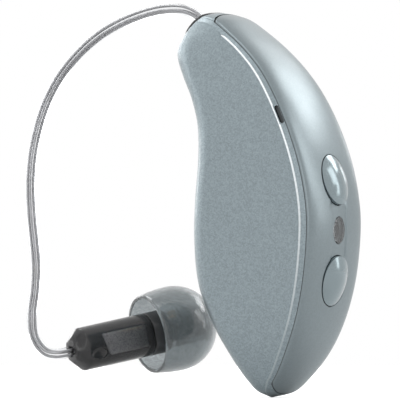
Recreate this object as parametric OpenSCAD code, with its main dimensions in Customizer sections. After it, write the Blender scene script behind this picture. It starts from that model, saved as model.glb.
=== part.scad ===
/* [Case] */
// Height of the case from its lower tip to the top of its nose
body_length = 31.7; // [28:0.1:36]
// Depth of the case from the ear rest to the furthest point of the spine
body_depth = 12.8; // [12:0.1:15]
// Thickness of the case from side to side at its widest
body_thickness = 8.24; // [8:0.02:10]
// Thickness of the case's moulded wall
wall = 0.7; // [0.5:0.05:0.8]
// Depth of the arched spine behind the seam
arch_depth = 0.65; // [0.5:0.05:0.9]
// Front to back width of the bevelled band between the flat side and the seam
bevel_depth = 0.5; // [0.3:0.05:0.8]
// Set-back of the seam from the flat side
bevel_set_back = 0.37; // [0.2:0.01:0.6]
// Depth of the rounding along the ear side
ear_rounding = 2.4; // [1.6:0.1:3]
// Width of the ledge that the spine cover sits on
rim_width = 0.75; // [0.6:0.05:0.9]
// Depth of that ledge
rim_depth = 0.9; // [0.7:0.05:1.1]
// Gap along the seam between the case and the spine cover
seam_gap = 0.05; // [0.03:0.01:0.08]

/* [Spine cover] */
// Thickness of the cover's skin
cover_wall = 0.6; // [0.5:0.05:0.62]
// How far the cover's lip reaches down inside the ledge
lip_depth = 0.8; // [0.6:0.05:0.85]
// Width of the shallow channel between the two buttons
channel_width = 2; // [1.4:0.1:2.6]
// Depth of that channel
channel_depth = 0.08; // [0.04:0.01:0.12]

/* [Buttons] */
// Length of a button along the spine
button_length = 4.2; // [3.4:0.1:4.6]
// Width of a button across the spine
button_width = 3.3; // [2.6:0.1:3.5]
// Height of a button's dome above the spine
button_crown = 0.48; // [0.2:0.02:0.54]
// Slope at which each face leans down towards the far button's side
button_lean_share = 0.07; // [0:0.01:0.08]
// Travel of a button when it is pressed
button_travel = 0.25; // [0.15:0.01:0.3]
// Gap around a button in its hole
button_gap = 0.1; // [0.06:0.01:0.14]
// Reach of the flange that keeps a button behind its hole
flange_reach = 0.25; // [0.2:0.01:0.3]
// Diameter of the plunger under a button
plunger_d = 1.2; // [0.8:0.1:1.6]
// Width and length of a key switch
switch_size = 2.4; // [1.8:0.1:2.8]
// Height of a key switch without its actuator
switch_height = 0.6; // [0.4:0.05:0.7]

/* [Indicator] */
// Length of the indicator window along the spine
window_length = 2.2; // [1.6:0.1:2.8]
// Width of the indicator window
window_width = 1.5; // [1.1:0.1:1.8]

/* [Microphones] */
// Length of a microphone slot in the bevelled band
slot_length = 1.65; // [1.2:0.05:2]
// Width of a microphone slot
slot_width = 0.38; // [0.3:0.01:0.44]
// Length of a microphone's can
mic_length = 2.4; // [2:0.1:2.8]
// Width of a microphone's can
mic_width = 1.7; // [1.4:0.1:2]
// Height of a microphone's can
mic_height = 0.9; // [0.7:0.05:1]

/* [Battery] */
// Diameter of the rechargeable cell
battery_d = 8; // [7:0.1:8.4]
// Thickness of the rechargeable cell
battery_thickness = 5; // [4:0.1:5.2]
// Diameter of a charging contact
contact_d = 1.7; // [1.2:0.1:2]
// Distance between the two charging contacts
contact_spacing = 3; // [2.4:0.1:4]

/* [Electronics] */
// Thickness of the circuit board
board_thickness = 0.5; // [0.3:0.05:0.6]
// Thickness of the switch board behind the spine
switch_board_thickness = 0.3; // [0.2:0.05:0.4]
// Height of the tallest chip
chip_height = 0.7; // [0.5:0.05:0.8]
// Diameter of the telecoil's winding
telecoil_d = 1.5; // [1.1:0.1:1.7]

/* [Receiver lead] */
// Outer diameter of the lead's clear tube
lead_d = 0.88; // [0.7:0.02:1]
// Bore of the lead's tube
lead_bore = 0.6; // [0.5:0.02:0.66]
// Diameter of each conductor inside the tube
conductor_d = 0.22; // [0.15:0.01:0.26]
// Diameter of the plug's stem
plug_d = 2; // [1.6:0.1:2.1]
// Length of the plug's stem
plug_length = 3.6; // [3:0.1:4]
// Height of the plug's domed cap above the nose
cap_height = 0.3; // [0.2:0.02:0.5]
// Wall of the connector socket
socket_wall = 0.25; // [0.2:0.01:0.3]
// Clearance around what plugs in or slides
sliding_gap = 0.08; // [0.05:0.01:0.1]

/* [Receiver] */
// Length of the receiver's housing
receiver_length = 8.8; // [8:0.1:10]
// Height across the receiver's housing
receiver_height = 3.6; // [3.2:0.1:4]
// Width across the receiver's housing
receiver_width = 3.3; // [3:0.1:3.6]
// Wall of the receiver's housing
receiver_wall = 0.35; // [0.3:0.05:0.4]
// Diameter of the spout that the dome clips on
spout_d = 2; // [1.8:0.1:2.2]
// Length of the spout
spout_length = 3.3; // [3:0.1:3.6]
// Direction of the receiver round the vertical, from the back towards the head
receiver_turn = 64; // [50:1:75]
// Rise of the receiver towards the ear canal
receiver_rise = 11; // [5:1:20]

/* [Dome] */
// Diameter of the soft dome
dome_d = 7.1; // [6.6:0.1:8]
// Length of the dome from its rim to its tip
dome_length = 6.1; // [5.8:0.1:6.6]
// Thickness of the dome's skin
dome_skin = 0.3; // [0.25:0.01:0.4]
// Outer diameter of the dome's inner sleeve
sleeve_d = 3.1; // [2.9:0.1:3.4]
// Diameter of the sound opening in the tip
tip_bore = 1.5; // [1.3:0.1:1.7]

/* [Hidden] */
$fn = 32;

// Sections of the case from its lower tip to its nose, as shares of its depth, length and
// thickness: ear side across and up, spine across and up, half thickness. The origin is the
// hollow of the ear side, where the case rests behind the ear.
section_shares = [
    [0.461, -0.644, 0.461, -0.644, 0],
    [0.391, -0.623, 0.580, -0.627, 0.243],
    [0.320, -0.592, 0.706, -0.576, 0.346],
    [0.188, -0.511, 0.816, -0.511, 0.425],
    [0.078, -0.432, 0.908, -0.427, 0.467],
    [-0.004, -0.341, 0.970, -0.330, 0.492],
    [-0.031, -0.230, 1, -0.221, 0.5],
    [-0.023, -0.129, 0.992, -0.136, 0.5],
    [0, -0.025, 0.938, -0.038, 0.498],
    [-0.008, 0.060, 0.844, 0.058, 0.485],
    [-0.062, 0.129, 0.731, 0.141, 0.461],
    [-0.141, 0.186, 0.606, 0.208, 0.425],
    [-0.195, 0.230, 0.454, 0.267, 0.394],
    [-0.207, 0.252, 0.292, 0.317, 0.364],
    [-0.195, 0.268, 0.186, 0.344, 0.334],
    [-0.172, 0.278, 0.074, 0.356, 0.303],
    [-0.145, 0.279, 0.047, 0.352, 0.285]
];

// Places along the case, as shares of the way from its lower tip to its nose
tip_share = 0.004;
cover_from_share = 0.047;
cover_to_share = 0.912;
cover_end_share = 0.05;
lip_inset_share = 0.03;
lip_from_share = cover_from_share + lip_inset_share;
lip_to_share = cover_to_share - lip_inset_share;
cavity_from_share = 0.09;
cavity_to_share = 0.86;
lower_button_share = 0.306;
window_share = 0.383;
upper_button_share = 0.475;
slot_share = 0.587;
front_mic_share = 0.73;
contact_share = 0.377;
battery_share = 0.33;
chassis_from_share = 0.21;
chassis_to_share = 0.64;
bay_from_share = 0.455;
bay_to_share = 0.615;
switch_board_from_share = 0.265;
switch_board_to_share = 0.52;
nearby_share = 0.002;
section_count = 36;
cavity_count = 18;
probe_share = 0.001;
end_crowding_share = 0.1;
look_ahead_share = 0.1;
seat_phase_share = 0.5;
ledge_phase_share = 0.25;
hollow_phase_share = 0.75;
channel_phase_share = 0.4;
round_power_share = 0.87;
crown_power_share = 0.85;
face_shares = [1, 0.985, 0.93, 0.8, 0.6, 0.35, 0.09];

// Places on the circuit board, as shares of its length and its depth
processor_shares = [0.32, 0.5];
radio_shares = [0.68, 0.5];
charging_shares = [0.24, 0.5];
telecoil_shares = [0.78, 0.5];
tab_shares = [0, 0.5];

// Edge of the plug's cap, as shares of the nose's outline and of the cap's height
cap_foot_shares = [0.96, 0];
cap_edge_shares = [1, 0.3];

// Route of the lead from the nose to the receiver: forward, outward and up, as shares of its
// reach, sway and drop
lead_reach = 16.4;
lead_sway = 5.8;
lead_drop = 16.9;
lead_shares = [
    [-0.18, 0, 0.685], [-0.275, 0, 0.692], [-0.38, -0.02, 0.68], [-0.525, -0.05, 0.64],
    [-0.67, -0.09, 0.575], [-0.795, -0.14, 0.485], [-0.895, -0.22, 0.373], [-0.957, -0.31, 0.254],
    [-0.988, -0.41, 0.13], [-1, -0.52, -0.018], [-0.988, -0.62, -0.166], [-0.957, -0.71, -0.32],
    [-0.915, -0.81, -0.45], [-0.884, -0.88, -0.568], [-0.878, -0.93, -0.686], [-0.884, -0.97, -0.793],
    [-0.872, -1, -0.888], [-0.848, -0.98, -0.947], [-0.811, -0.93, -0.988], [-0.774, -0.845, -1]
];
// Rear end of the receiver in the same shares
receiver_share = [-0.726, -0.64, -0.988];

// Small sizes of the pieces
overrun = 0.4;
seat_gap = 0.05;
bow_gap = 0.18;
cavity_corner = 0.5;
flange_thickness = 0.15;
flange_drop = 0.2;
plunger_drop = 0.2;
rest_gap = 0.03;
actuator_height = 0.15;
actuator_d = 1;
window_thickness = 0.45;
window_inset = 0.06;
window_gap = 0.04;
led_size = 1;
led_height = 0.35;
slot_reach = 1;
inlet_length = 1.3;
inlet_d = 0.34;
screen_thickness = 0.1;
gasket_thickness = 0.3;
mic_port_d = 0.5;
chassis_inset = 1.5;
chassis_rail = 0.8;
bay_gap = 0.1;
battery_inset = 1.4;
battery_gap = 0.1;
insulator_height = 0.25;
cap_step = 0.5;
crimp = 0.3;
cap_inset = 0.8;
tab_width = 1.4;
tab_thickness = 0.12;
chip_gap = 0.03;
processor_size = [3, 2.6];
radio_size = [2.2, 2.2];
charging_size = [1.6, 1.6];
core_length = 4.4;
winding_length = 3.6;
core_d = 0.7;
antenna_width = 0.35;
antenna_thickness = 0.15;
land_depth = 0.12;
land_width = 2.4;
contact_proud = 0.05;
contact_head = 0.3;
shank_d = 1;
shank_reach = 0.15;
pin_d = 0.4;
pin_length = 0.6;
pin_pitch = 0.7;
spring_height = 0.25;
socket_floor = 0.4;
seal_d = 0.3;
seal_drop = 1.2;
lead_grip = 0.6;
lead_stub = 1.3;
rear_chamfer = 0.9;
rear_d = 2;
motor_from = 2.5;
motor_size = 2.3;
collar_length = 1.6;
suspension_length = 0.4;
motor_slack = 0.1;
suspension_wall = 0.3;
recess_length = 1.5;
recess_width = 0.9;
recess_depth = 0.22;
recess_at = 2.4;
recess_low = 0.5;
spout_wall = 0.4;
spout_root = 0.8;
barb_height = 0.08;
barb_length = 0.5;
barb_at = 1.6;
guard_length = 1.1;
guard_flange = 0.15;
guard_wall = 0.2;
guard_reach = 0.1;
sleeve_start = 0.4;
tip_length = 1.1;
rim_draw_share = 0.035;
tube_rings = 48;
tube_sides = 8;
conductor_sides = 6;

// Depths below the spine, from the cover inwards
motor_length = receiver_length - collar_length - motor_from - suspension_length - motor_slack;
flange_depth = cover_wall + flange_drop;
plunger_depth = flange_depth + flange_thickness;
key_depth = plunger_depth + plunger_drop + button_travel + rest_gap;
switch_depth = key_depth + actuator_height;
board_depth = switch_depth + switch_height + bow_gap;
chassis_depth = board_depth + switch_board_thickness + seat_gap;
gasket_depth = arch_depth + lip_depth + seat_gap;
rear_mic_depth = gasket_depth + gasket_thickness;
front_mic_depth = cover_wall + seat_gap + gasket_thickness;

// A smooth curve through a list of values, at a share of the way along it
function blend(values, share) =
    let (last = len(values) - 1)
    let (at = min(max(share, 0), 1) * last)
    let (i = min(floor(at), last - 1))
    let (f = at - i)
    let (b = values[i])
    let (c = values[i + 1])
    let (a = i > 0 ? values[i - 1] : 2 * b - c)
    let (d = i + 2 <= last ? values[i + 2] : 2 * c - b)
    (2 * b + f * (c - a) + f * f * (2 * a - 5 * b + 4 * c - d) + f * f * f * (3 * b - a - 3 * c + d)) / 2;

// Shares spread from one to another, closer together towards both ends
function spread(count, from, to) =
    [for (i = [0:count]) from + (to - from) * (i / count - end_crowding_share * sin(360 * i / count))];

// Shares of the sections that the case is drawn through. A cut has sections of its own, a phase
// further on than these, so that its edges cross those of the case and never lie on them.
function sections() = spread(section_count, tip_share, 1);
function between(from, to, phase_share) = concat(
    [from],
    [for (i = [0:section_count - 1])
        let (s = sections()[i] + phase_share * (sections()[i + 1] - sections()[i]))
        if (s > from + nearby_share && s < to - nearby_share) s],
    [to]);

// The case's own places and sizes at a share of its length
function ear_point(share) =
    let (s = blend(section_shares, share)) [s[0] * body_depth, 0, s[1] * body_length];
function spine_point(share) =
    let (s = blend(section_shares, share)) [s[2] * body_depth, 0, s[3] * body_length];
function half_at(share) = max(blend(section_shares, share)[4], 0) * body_thickness;
function depth_at(share) = norm(spine_point(share) - ear_point(share));
function backward(share) = (spine_point(share) - ear_point(share)) / depth_at(share);
function place(share, depth, side) = ear_point(share) + depth * backward(share) + [0, side, 0];
function tip_scale(share) =
    min(1, depth_at(share) / (arch_depth + bevel_depth + ear_rounding + bevel_set_back));
function seam_half(share) = half_at(share) * (1 - 2 * bevel_set_back / body_thickness);
function seam_depth(share) = depth_at(share) - arch_depth * tip_scale(share);
function flat(point) = [point[0], point[2]];

// Half an outline of the case at a share, from the spine round one side to the ear side
function ear_arc(depth, half, start, step) =
    [for (a = [90:-step:0])
        [start + depth * (1 - pow(cos(a), round_power_share)), half * pow(sin(a), round_power_share)]];
function case_outline(share) =
    let (k = tip_scale(share))
    let (seam = seam_depth(share))
    let (half = half_at(share))
    let (crease = seam - bevel_depth * k)
    concat(
        [for (a = [0:15:90]) [seam + arch_depth * k * cos(a), seam_half(share) * sin(a)]],
        [[crease, half], [(crease + ear_rounding * k) / 2, half]],
        ear_arc(ear_rounding * k, half, 0, 15));
function cavity_outline(share) =
    let (back = seam_depth(share) - rim_depth)
    let (half = half_at(share) - wall)
    let (front = ear_rounding - wall)
    concat(
        [[back, 0], [back, half - cavity_corner], [back - cavity_corner, half], [(back + front) / 2, half]],
        ear_arc(front, half, wall, 30));

// A closed ring of points from half an outline, and a four-sided ring
function ring(share, outline) = concat(
    [for (p = outline) place(share, p[0], -p[1])],
    [for (i = [len(outline) - 2:-1:1]) place(share, outline[i][0], outline[i][1])]);
function strip_ring(share, half, near, far) =
    [place(share, far, -half), place(share, near, -half), place(share, near, half), place(share, far, half)];

// Half width of the spine cover and of what lies inside its ledge
function end_round(share, from, to) =
    sqrt(1 - pow(1 - min(max(min(share - from, to - share) / cover_end_share, 0), 1), 2));
function cover_half(share) = seam_half(share) * end_round(share, cover_from_share, cover_to_share);
function lip_half(share, inset) = max(seam_half(share) - inset, 0)
    * end_round(share, lip_from_share, lip_to_share);

// A solid through rings of points that run upwards
module loft(rings) {
    n = len(rings[0]);
    last = len(rings) - 1;
    polyhedron(
        points = [for (r = rings) each r],
        faces = concat(
            [[for (j = [n - 1:-1:0]) j]],
            [[for (j = [0:n - 1]) last * n + j]],
            [for (i = [0:last - 1], j = [0:n - 1])
                let (a = i * n + j)
                let (b = i * n + (j + 1) % n)
                each [[a, b, b + n], [a, b + n, a + n]]]));
}

// A bar that follows the case, as hulls of neighbouring sections
module follow(shares, section) {
    for (i = [0:len(shares) - 2])
        hull() loft([section(shares[i]), section(shares[i + 1])]);
}

// Puts its children on the spine, looking outwards, at a depth below the surface
module on_spine(share, depth) {
    run = spine_point(share + probe_share) - spine_point(share - probe_share);
    out = [run[2], 0, -run[0]] / norm(run);
    translate(spine_point(share) - depth * out) rotate([0, atan2(out[0], out[2]), 0]) children();
}

// Extrudes a side view of the case across its thickness
module across(thickness, side = 0) {
    translate([0, side, 0]) rotate([90, 0, 0]) linear_extrude(height = thickness, center = true) children();
}

// A side view that follows the case between two depths, measured from the ear side and the spine
module side_view(from, to, inset, below, steps = 10) {
    shares = [for (i = [0:steps]) from + (to - from) * i / steps];
    polygon(concat(
        [for (s = shares) flat(place(s, inset, 0))],
        [for (i = [steps:-1:0]) flat(place(shares[i], depth_at(shares[i]) - below, 0))]));
}

// A side view of a strip that follows the spine between two depths below it
module spine_strip(from, to, near, far, steps = 10) {
    shares = [for (i = [0:steps]) from + (to - from) * i / steps];
    polygon(concat(
        [for (s = shares) flat(place(s, depth_at(s) - far, 0))],
        [for (i = [steps:-1:0]) flat(place(shares[i], depth_at(shares[i]) - near, 0))]));
}

// A flat oval, its length along the spine
module oval(length, width, height) {
    linear_extrude(height = height)
        polygon([for (a = [0:10:350]) [length / 2 * cos(a), width / 2 * sin(a)]]);
}

module case_shell() color("lightslategray") difference() {
    loft([for (s = sections()) ring(s, case_outline(s))]);
    // Room for the works
    loft([for (s = spread(cavity_count, cavity_from_share, cavity_to_share)) ring(s, cavity_outline(s))]);
    // Seat of the spine cover
    follow(between(cover_from_share, cover_to_share, seat_phase_share), function (s)
        strip_ring(s, cover_half(s) + seam_gap, seam_depth(s), depth_at(s) + overrun));
    // Opening inside the ledge
    follow(between(lip_from_share, lip_to_share, ledge_phase_share), function (s)
        strip_ring(s, lip_half(s, rim_width), seam_depth(s) - rim_depth - overrun, seam_depth(s) + overrun));
    // Hole for the connector socket
    on_nose() translate([0, 0, -socket_length() - overrun])
        cylinder(d = socket_d() + 2 * seat_gap, h = socket_length() + 2 * overrun);
    microphone_slot(1);
    microphone_slot(-1);
    // Front microphone's inlet at the upper end of the cover
    inlet();
    // Flat land and holes of the charging contacts
    contact_place(0) hull() for (z = [-1, 1])
        translate([0, 0, z * contact_spacing / 2]) rotate([0, -90, 0])
            cylinder(d = land_width, h = land_depth + overrun);
    for (z = [-1, 1]) contact_place(z) rotate([0, 90, 0]) {
        translate([0, 0, -overrun])
            cylinder(d = contact_d + 2 * seat_gap, h = overrun + contact_head + seat_gap);
        cylinder(d = shank_d + 2 * seat_gap, h = wall + overrun);
    }
}

// Point on the bevelled band beside the seam, on one side
function band_point(share, side) =
    place(share, seam_depth(share) - bevel_depth / 2, side * (half_at(share) + seam_half(share)) / 2);

// Length of the band to a whole share, where the slot is
function slot_run() = norm(band_point(slot_share + probe_share, 1) - band_point(slot_share - probe_share, 1))
    / (2 * probe_share);

module microphone_slot(side) {
    hull() for (end = [-1, 1], deep = [0, 1]) {
        s = slot_share + end * (slot_length - slot_width) / 2 / slot_run();
        translate(band_point(s, side) - deep * side * [0, slot_reach, 0]) sphere(d = slot_width);
    }
}

module inlet() {
    translate(spine_point(cover_to_share)) hull() for (side = [-1, 1])
        translate([0, side * (inlet_length - inlet_d) / 2, 0]) sphere(d = inlet_d);
}

module spine_cover() color("silver") difference() {
    union() {
        intersection() {
            loft([for (s = sections()) ring(s, case_outline(s))]);
            follow(between(cover_from_share, cover_to_share, seat_phase_share), function (s)
                strip_ring(s, cover_half(s), seam_depth(s) + seam_gap, depth_at(s) + overrun));
        }
        // Lip that locates the cover inside the ledge
        follow(between(lip_from_share, lip_to_share, ledge_phase_share), function (s)
            strip_ring(s, lip_half(s, rim_width + seam_gap), seam_depth(s) - lip_depth,
                seam_depth(s) + 2 * seam_gap));
    }
    // Hollow inside the lip
    hollow = between(lip_from_share + lip_inset_share, lip_to_share - lip_inset_share, hollow_phase_share);
    follow(hollow, function (s)
        strip_ring(s, lip_half(s, rim_width + seam_gap + cover_wall), seam_depth(s) - lip_depth - overrun,
            depth_at(s) - cover_wall));
    // Shallow channel between the buttons
    follow(between(lower_button_share, upper_button_share, channel_phase_share), function (s)
        strip_ring(s, channel_width / 2, depth_at(s) - channel_depth, depth_at(s) + overrun));
    for (s = [lower_button_share, upper_button_share]) on_spine(s, cover_wall + overrun)
        oval(button_length + 2 * button_gap, button_width + 2 * button_gap, cover_wall + 2 * overrun);
    on_spine(window_share, cover_wall + overrun)
        oval(window_length + 2 * window_gap, window_width + 2 * window_gap, cover_wall + 2 * overrun);
    inlet();
}

// Button cap with its dome, its skirt and the flange that keeps it in. Its face leans along the spine.
module button(share, lean_share) {
    function face(p, s) =
        [p[0] * s, p[1] * s, lean_share * p[0] * s + button_crown * pow(1 - s * s, crown_power_share)];
    skirt = [for (a = [0:15:345]) [button_length / 2 * cos(a), button_width / 2 * sin(a)]];
    flange = [for (a = [0:15:345])
        [(button_length / 2 + flange_reach) * cos(a), (button_width / 2 + flange_reach) * sin(a)]];
    on_spine(share, 0) mirror([0, 1, 0]) loft(concat(
        [for (z = [-plunger_depth, -flange_depth]) [for (p = flange) [p[0], p[1], z]]],
        [[for (p = skirt) [p[0], p[1], -flange_depth]]],
        [for (s = face_shares) [for (p = skirt) face(p, s)]]));
}

module plunger(share) {
    on_spine(share, plunger_depth + plunger_drop) cylinder(d = plunger_d, h = plunger_drop);
}

module upper_button() color("gainsboro") button(upper_button_share, button_lean_share);
module lower_button() color("gainsboro") button(lower_button_share, -button_lean_share);
module upper_plunger() color("dimgray") plunger(upper_button_share);
module lower_plunger() color("dimgray") plunger(lower_button_share);

// Key switch: a metal-topped box with a round actuator
module key_switch(share) on_spine(share, switch_depth + switch_height) {
    linear_extrude(height = switch_height) square(switch_size, center = true);
    translate([0, 0, switch_height]) cylinder(d = actuator_d, h = actuator_height);
}

module upper_switch() color("darkgray") key_switch(upper_button_share);
module lower_switch() color("darkgray") key_switch(lower_button_share);

module switch_board() color("darkgoldenrod") across(switch_size + 2 * seat_gap)
    spine_strip(switch_board_from_share, switch_board_to_share,
        board_depth, board_depth + switch_board_thickness);

module indicator_window() color("dimgray") on_spine(window_share, window_inset + window_thickness)
    oval(window_length, window_width, window_thickness);

module indicator_led() color("whitesmoke") on_spine(window_share, board_depth) {
    linear_extrude(height = led_height) square(led_size, center = true);
    translate([0, 0, led_height]) cylinder(d = led_size * 3 / 4, h = led_height / 2);
}

// Centre of the cell
function battery_centre() = place(battery_share, battery_inset + battery_d / 2, 0);

module battery_axis(side) translate(battery_centre() + [0, side, 0]) rotate([-90, 0, 0]) children();

// Frame that carries the works: a rail round a bay for the board and a cradle for the cell
module chassis_frame() color("darkslategray") difference() {
    across(battery_thickness) side_view(chassis_from_share, chassis_to_share, chassis_inset, chassis_depth);
    across(battery_thickness + overrun) bay(0);
    battery_axis(-battery_thickness) cylinder(d = battery_d + 2 * battery_gap, h = 2 * battery_thickness);
    // Pocket for the rear microphone
    on_spine(slot_share, rear_mic_depth + mic_height + seat_gap)
        linear_extrude(height = mic_height + gasket_thickness + overrun)
            square([mic_length + 2 * seat_gap, mic_width + 2 * seat_gap], center = true);
}

// Side view of the bay for the circuit board, made smaller by a gap
module bay(gap) {
    trim_share = gap / norm(spine_point(1) - spine_point(0));
    side_view(bay_from_share + trim_share, bay_to_share - trim_share,
        chassis_inset + chassis_rail + gap, rear_mic_depth + mic_height + chassis_rail + gap);
}

module circuit_board() color("darkgreen") across(board_thickness) bay(bay_gap);

// Middle of the board at shares of its length and depth, and a chip there on one face of it
function on_board(shares) =
    let (s = bay_from_share + (bay_to_share - bay_from_share) * shares[0])
    let (near = chassis_inset + chassis_rail)
    let (far = depth_at(s) - rear_mic_depth - mic_height - chassis_rail)
    place(s, near + (far - near) * shares[1], 0);

module chip(shares, size, side) {
    way = backward((bay_from_share + bay_to_share) / 2);
    translate(on_board(shares) + [0, side * (board_thickness / 2 + chip_gap + chip_height / 2), 0])
        rotate([0, -atan2(way[2], way[0]), 0]) cube([size[0], chip_height, size[1]], center = true);
}

module processor_chip() color("black") chip(processor_shares, processor_size, 1);
module radio_chip() color("black") chip(radio_shares, radio_size, -1);
module charging_chip() color("black") chip(charging_shares, charging_size, -1);

// Rod on the board's far face, across the board
module telecoil_rod(length, d)
    translate(on_board(telecoil_shares) + [0, board_thickness / 2 + chip_gap + telecoil_d / 2, 0])
        rotate([0, 90, 0]) translate([0, 0, -length / 2]) cylinder(d = d, h = length);

module telecoil_core() color("gray") telecoil_rod(core_length, core_d);
module telecoil_winding() color("orangered") difference() {
    telecoil_rod(winding_length, telecoil_d);
    telecoil_rod(core_length, core_d + seat_gap);
}

// Printed loop that lies round the bay on the outer side
module antenna() color("goldenrod")
    across(antenna_thickness, seat_gap + antenna_thickness / 2 - battery_thickness / 2) difference() {
        bay(bay_gap);
        bay(bay_gap + antenna_width);
    }

module microphone(share, depth) on_spine(share, depth + mic_height) {
    linear_extrude(height = mic_height) square([mic_length, mic_width], center = true);
}

module front_microphone() color("silver") difference() {
    microphone(front_mic_share, front_mic_depth);
    on_spine(front_mic_share, front_mic_depth + mic_height / 2) cylinder(d = mic_port_d, h = mic_height);
}

module rear_microphone() color("silver") difference() {
    microphone(slot_share, rear_mic_depth + seat_gap);
    on_spine(slot_share, rear_mic_depth + mic_height / 2) cylinder(d = mic_port_d, h = mic_height);
}

// Rubber gaskets that lead the sound from the inlets to the microphones
module front_gasket() color("darkslategray") on_spine(front_mic_share, front_mic_depth - seat_gap / 2)
    difference() {
        linear_extrude(height = gasket_thickness - seat_gap / 2)
            square([mic_length, mic_width], center = true);
        translate([0, 0, -overrun]) cylinder(d = mic_port_d, h = gasket_thickness + 2 * overrun);
    }

module rear_gasket() color("darkslategray") on_spine(slot_share, rear_mic_depth)
    difference() {
        linear_extrude(height = gasket_thickness)
            square([slot_length, 2 * (seam_half(slot_share) - rim_width - seat_gap)], center = true);
        translate([0, 0, -overrun]) cylinder(d = mic_port_d, h = gasket_thickness + 2 * overrun);
    }

// Fine screens set into the two microphone slots
module microphone_screens() color("dimgray") for (side = [-1, 1]) {
    run = band_point(slot_share + probe_share, side) - band_point(slot_share - probe_share, side);
    translate(band_point(slot_share, side) - side * [0, slot_reach / 2, 0])
        rotate([0, atan2(run[0], run[2]), 0])
            cube([slot_width - 2 * seat_gap, screen_thickness, slot_length - slot_width], center = true);
}

module battery_cell() color("silver") difference() {
    battery_axis(-battery_thickness / 2)
        cylinder(d = battery_d, h = battery_thickness - cap_step);
    // Crimped shoulder under the insulator
    battery_axis(battery_thickness / 2 - cap_step - crimp) difference() {
        cylinder(d = battery_d + overrun, h = crimp + overrun);
        translate([0, 0, -overrun]) cylinder(d = battery_d - crimp, h = crimp + 3 * overrun);
    }
}

module battery_insulator() color("black") battery_axis(battery_thickness / 2 - cap_step) difference() {
    cylinder(d = battery_d - cap_inset, h = insulator_height);
    translate([0, 0, -overrun]) cylinder(d = battery_d - 2 * cap_inset, h = insulator_height + 2 * overrun);
}

module battery_cap() color("gainsboro") battery_axis(battery_thickness / 2 - cap_step)
    cylinder(d = battery_d - 2 * cap_inset - 2 * seat_gap, h = cap_step);

// Welded strips that join the cell to the board, one on each face
module battery_tabs() color("lightgray") for (side = [-1, 1])
    across(tab_thickness, side * (battery_thickness / 2 + seat_gap / 2 + tab_thickness / 2)) hull() {
        translate(flat(battery_centre())) circle(d = tab_width);
        translate(flat(on_board(tab_shares))) circle(d = tab_width);
    }

// A charging contact's place on the flat land of the ear side, above or below the middle
module contact_place(step) {
    translate(ear_point(contact_share) + [land_depth, 0, step * contact_spacing / 2]) children();
}

module charging_contact(step) contact_place(step) rotate([0, 90, 0]) {
    translate([0, 0, -contact_proud]) cylinder(d = contact_d, h = contact_proud + contact_head);
    cylinder(d = shank_d, h = wall + shank_reach);
}

module upper_contact() color("gold") charging_contact(1);
module lower_contact() color("gold") charging_contact(-1);

// The nose is cut square across the way that the plug goes in
function nose_across() = (spine_point(1) - ear_point(1)) / depth_at(1);
function nose_out() = [-nose_across()[2], 0, nose_across()[0]];
function nose_centre() = (spine_point(1) + ear_point(1)) / 2;
function socket_d() = plug_d + 2 * sliding_gap + 2 * socket_wall;
function socket_length() = plug_length + pin_length + spring_height + 2 * rest_gap + socket_floor;

module on_nose() {
    translate(nose_centre()) rotate([0, atan2(nose_out()[0], nose_out()[2]), 0]) children();
}

module connector_socket() color("darkslategray") on_nose() difference() {
    translate([0, 0, -socket_length() - seat_gap]) cylinder(d = socket_d(), h = socket_length());
    translate([0, 0, -socket_length() - seat_gap + socket_floor])
        cylinder(d = plug_d + 2 * sliding_gap, h = socket_length());
}

// Sprung contacts on the floor of the socket, under the plug's pins
module socket_springs() color("gold") on_nose() for (step = [-1:1])
    translate([0, step * pin_pitch, -socket_length() - seat_gap + socket_floor + rest_gap / 2])
        linear_extrude(height = spring_height - rest_gap) square([pin_pitch, pin_d], center = true);

module lead_plug() color("dimgray") on_nose() difference() {
    union() {
        nose_cap();
        translate([0, 0, -plug_length]) cylinder(d = plug_d, h = plug_length + cap_height / 2);
    }
    translate([0, 0, -lead_grip]) cylinder(d = lead_d + 2 * rest_gap, h = lead_grip + cap_height + overrun);
    // Groove for the seal
    translate([0, 0, -seal_drop]) rotate_extrude() translate([plug_d / 2, 0])
        square([2 * seal_d, seal_d + seat_gap * 2], center = true);
}

// Domed cap that closes the nose
module nose_cap() {
    outline = case_outline(1);
    shape = concat(
        [for (p = outline) [p[0] - depth_at(1) / 2, -p[1]]],
        [for (i = [len(outline) - 2:-1:1]) [outline[i][0] - depth_at(1) / 2, outline[i][1]]]);
    loft(concat(
        [for (p = [cap_foot_shares, cap_edge_shares]) cap_ring(shape, p[0], p[1])],
        [for (a = [30:15:75])
            cap_ring(shape, sqrt(cos(a)), cap_edge_shares[1] + (1 - cap_edge_shares[1]) * sin(a))]));
}
function cap_ring(shape, width_share, height_share) =
    [for (p = shape) [p[0] * width_share, p[1] * width_share, rest_gap + cap_height * height_share]];

module plug_pins() color("gold") on_nose() for (step = [-1:1])
    translate([0, step * pin_pitch, -plug_length - rest_gap - pin_length])
        cylinder(d = pin_d, h = pin_length);

module plug_seal() color("black") on_nose() translate([0, 0, -seal_drop])
    rotate_extrude() translate([plug_d / 2 + sliding_gap / 2 - seal_d / 2, 0]) circle(d = seal_d);

// Path of the lead: straight out of the plug, over the ear, and straight into the receiver
function lead_place(shares) = [shares[0] * lead_reach, shares[1] * lead_sway, shares[2] * lead_drop];
function receiver_at() = lead_place(receiver_share);
function receiver_way() = [cos(receiver_rise) * cos(receiver_turn), cos(receiver_rise) * sin(receiver_turn),
    sin(receiver_rise)];
function lead_route() = concat(
    [nose_centre() - nose_out() * lead_grip + nose_out() * rest_gap, nose_centre() + nose_out() * lead_stub],
    [for (p = lead_shares) lead_place(p)],
    [receiver_at() - receiver_way() * lead_stub / 2, receiver_at() + receiver_way() * lead_grip]);

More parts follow.
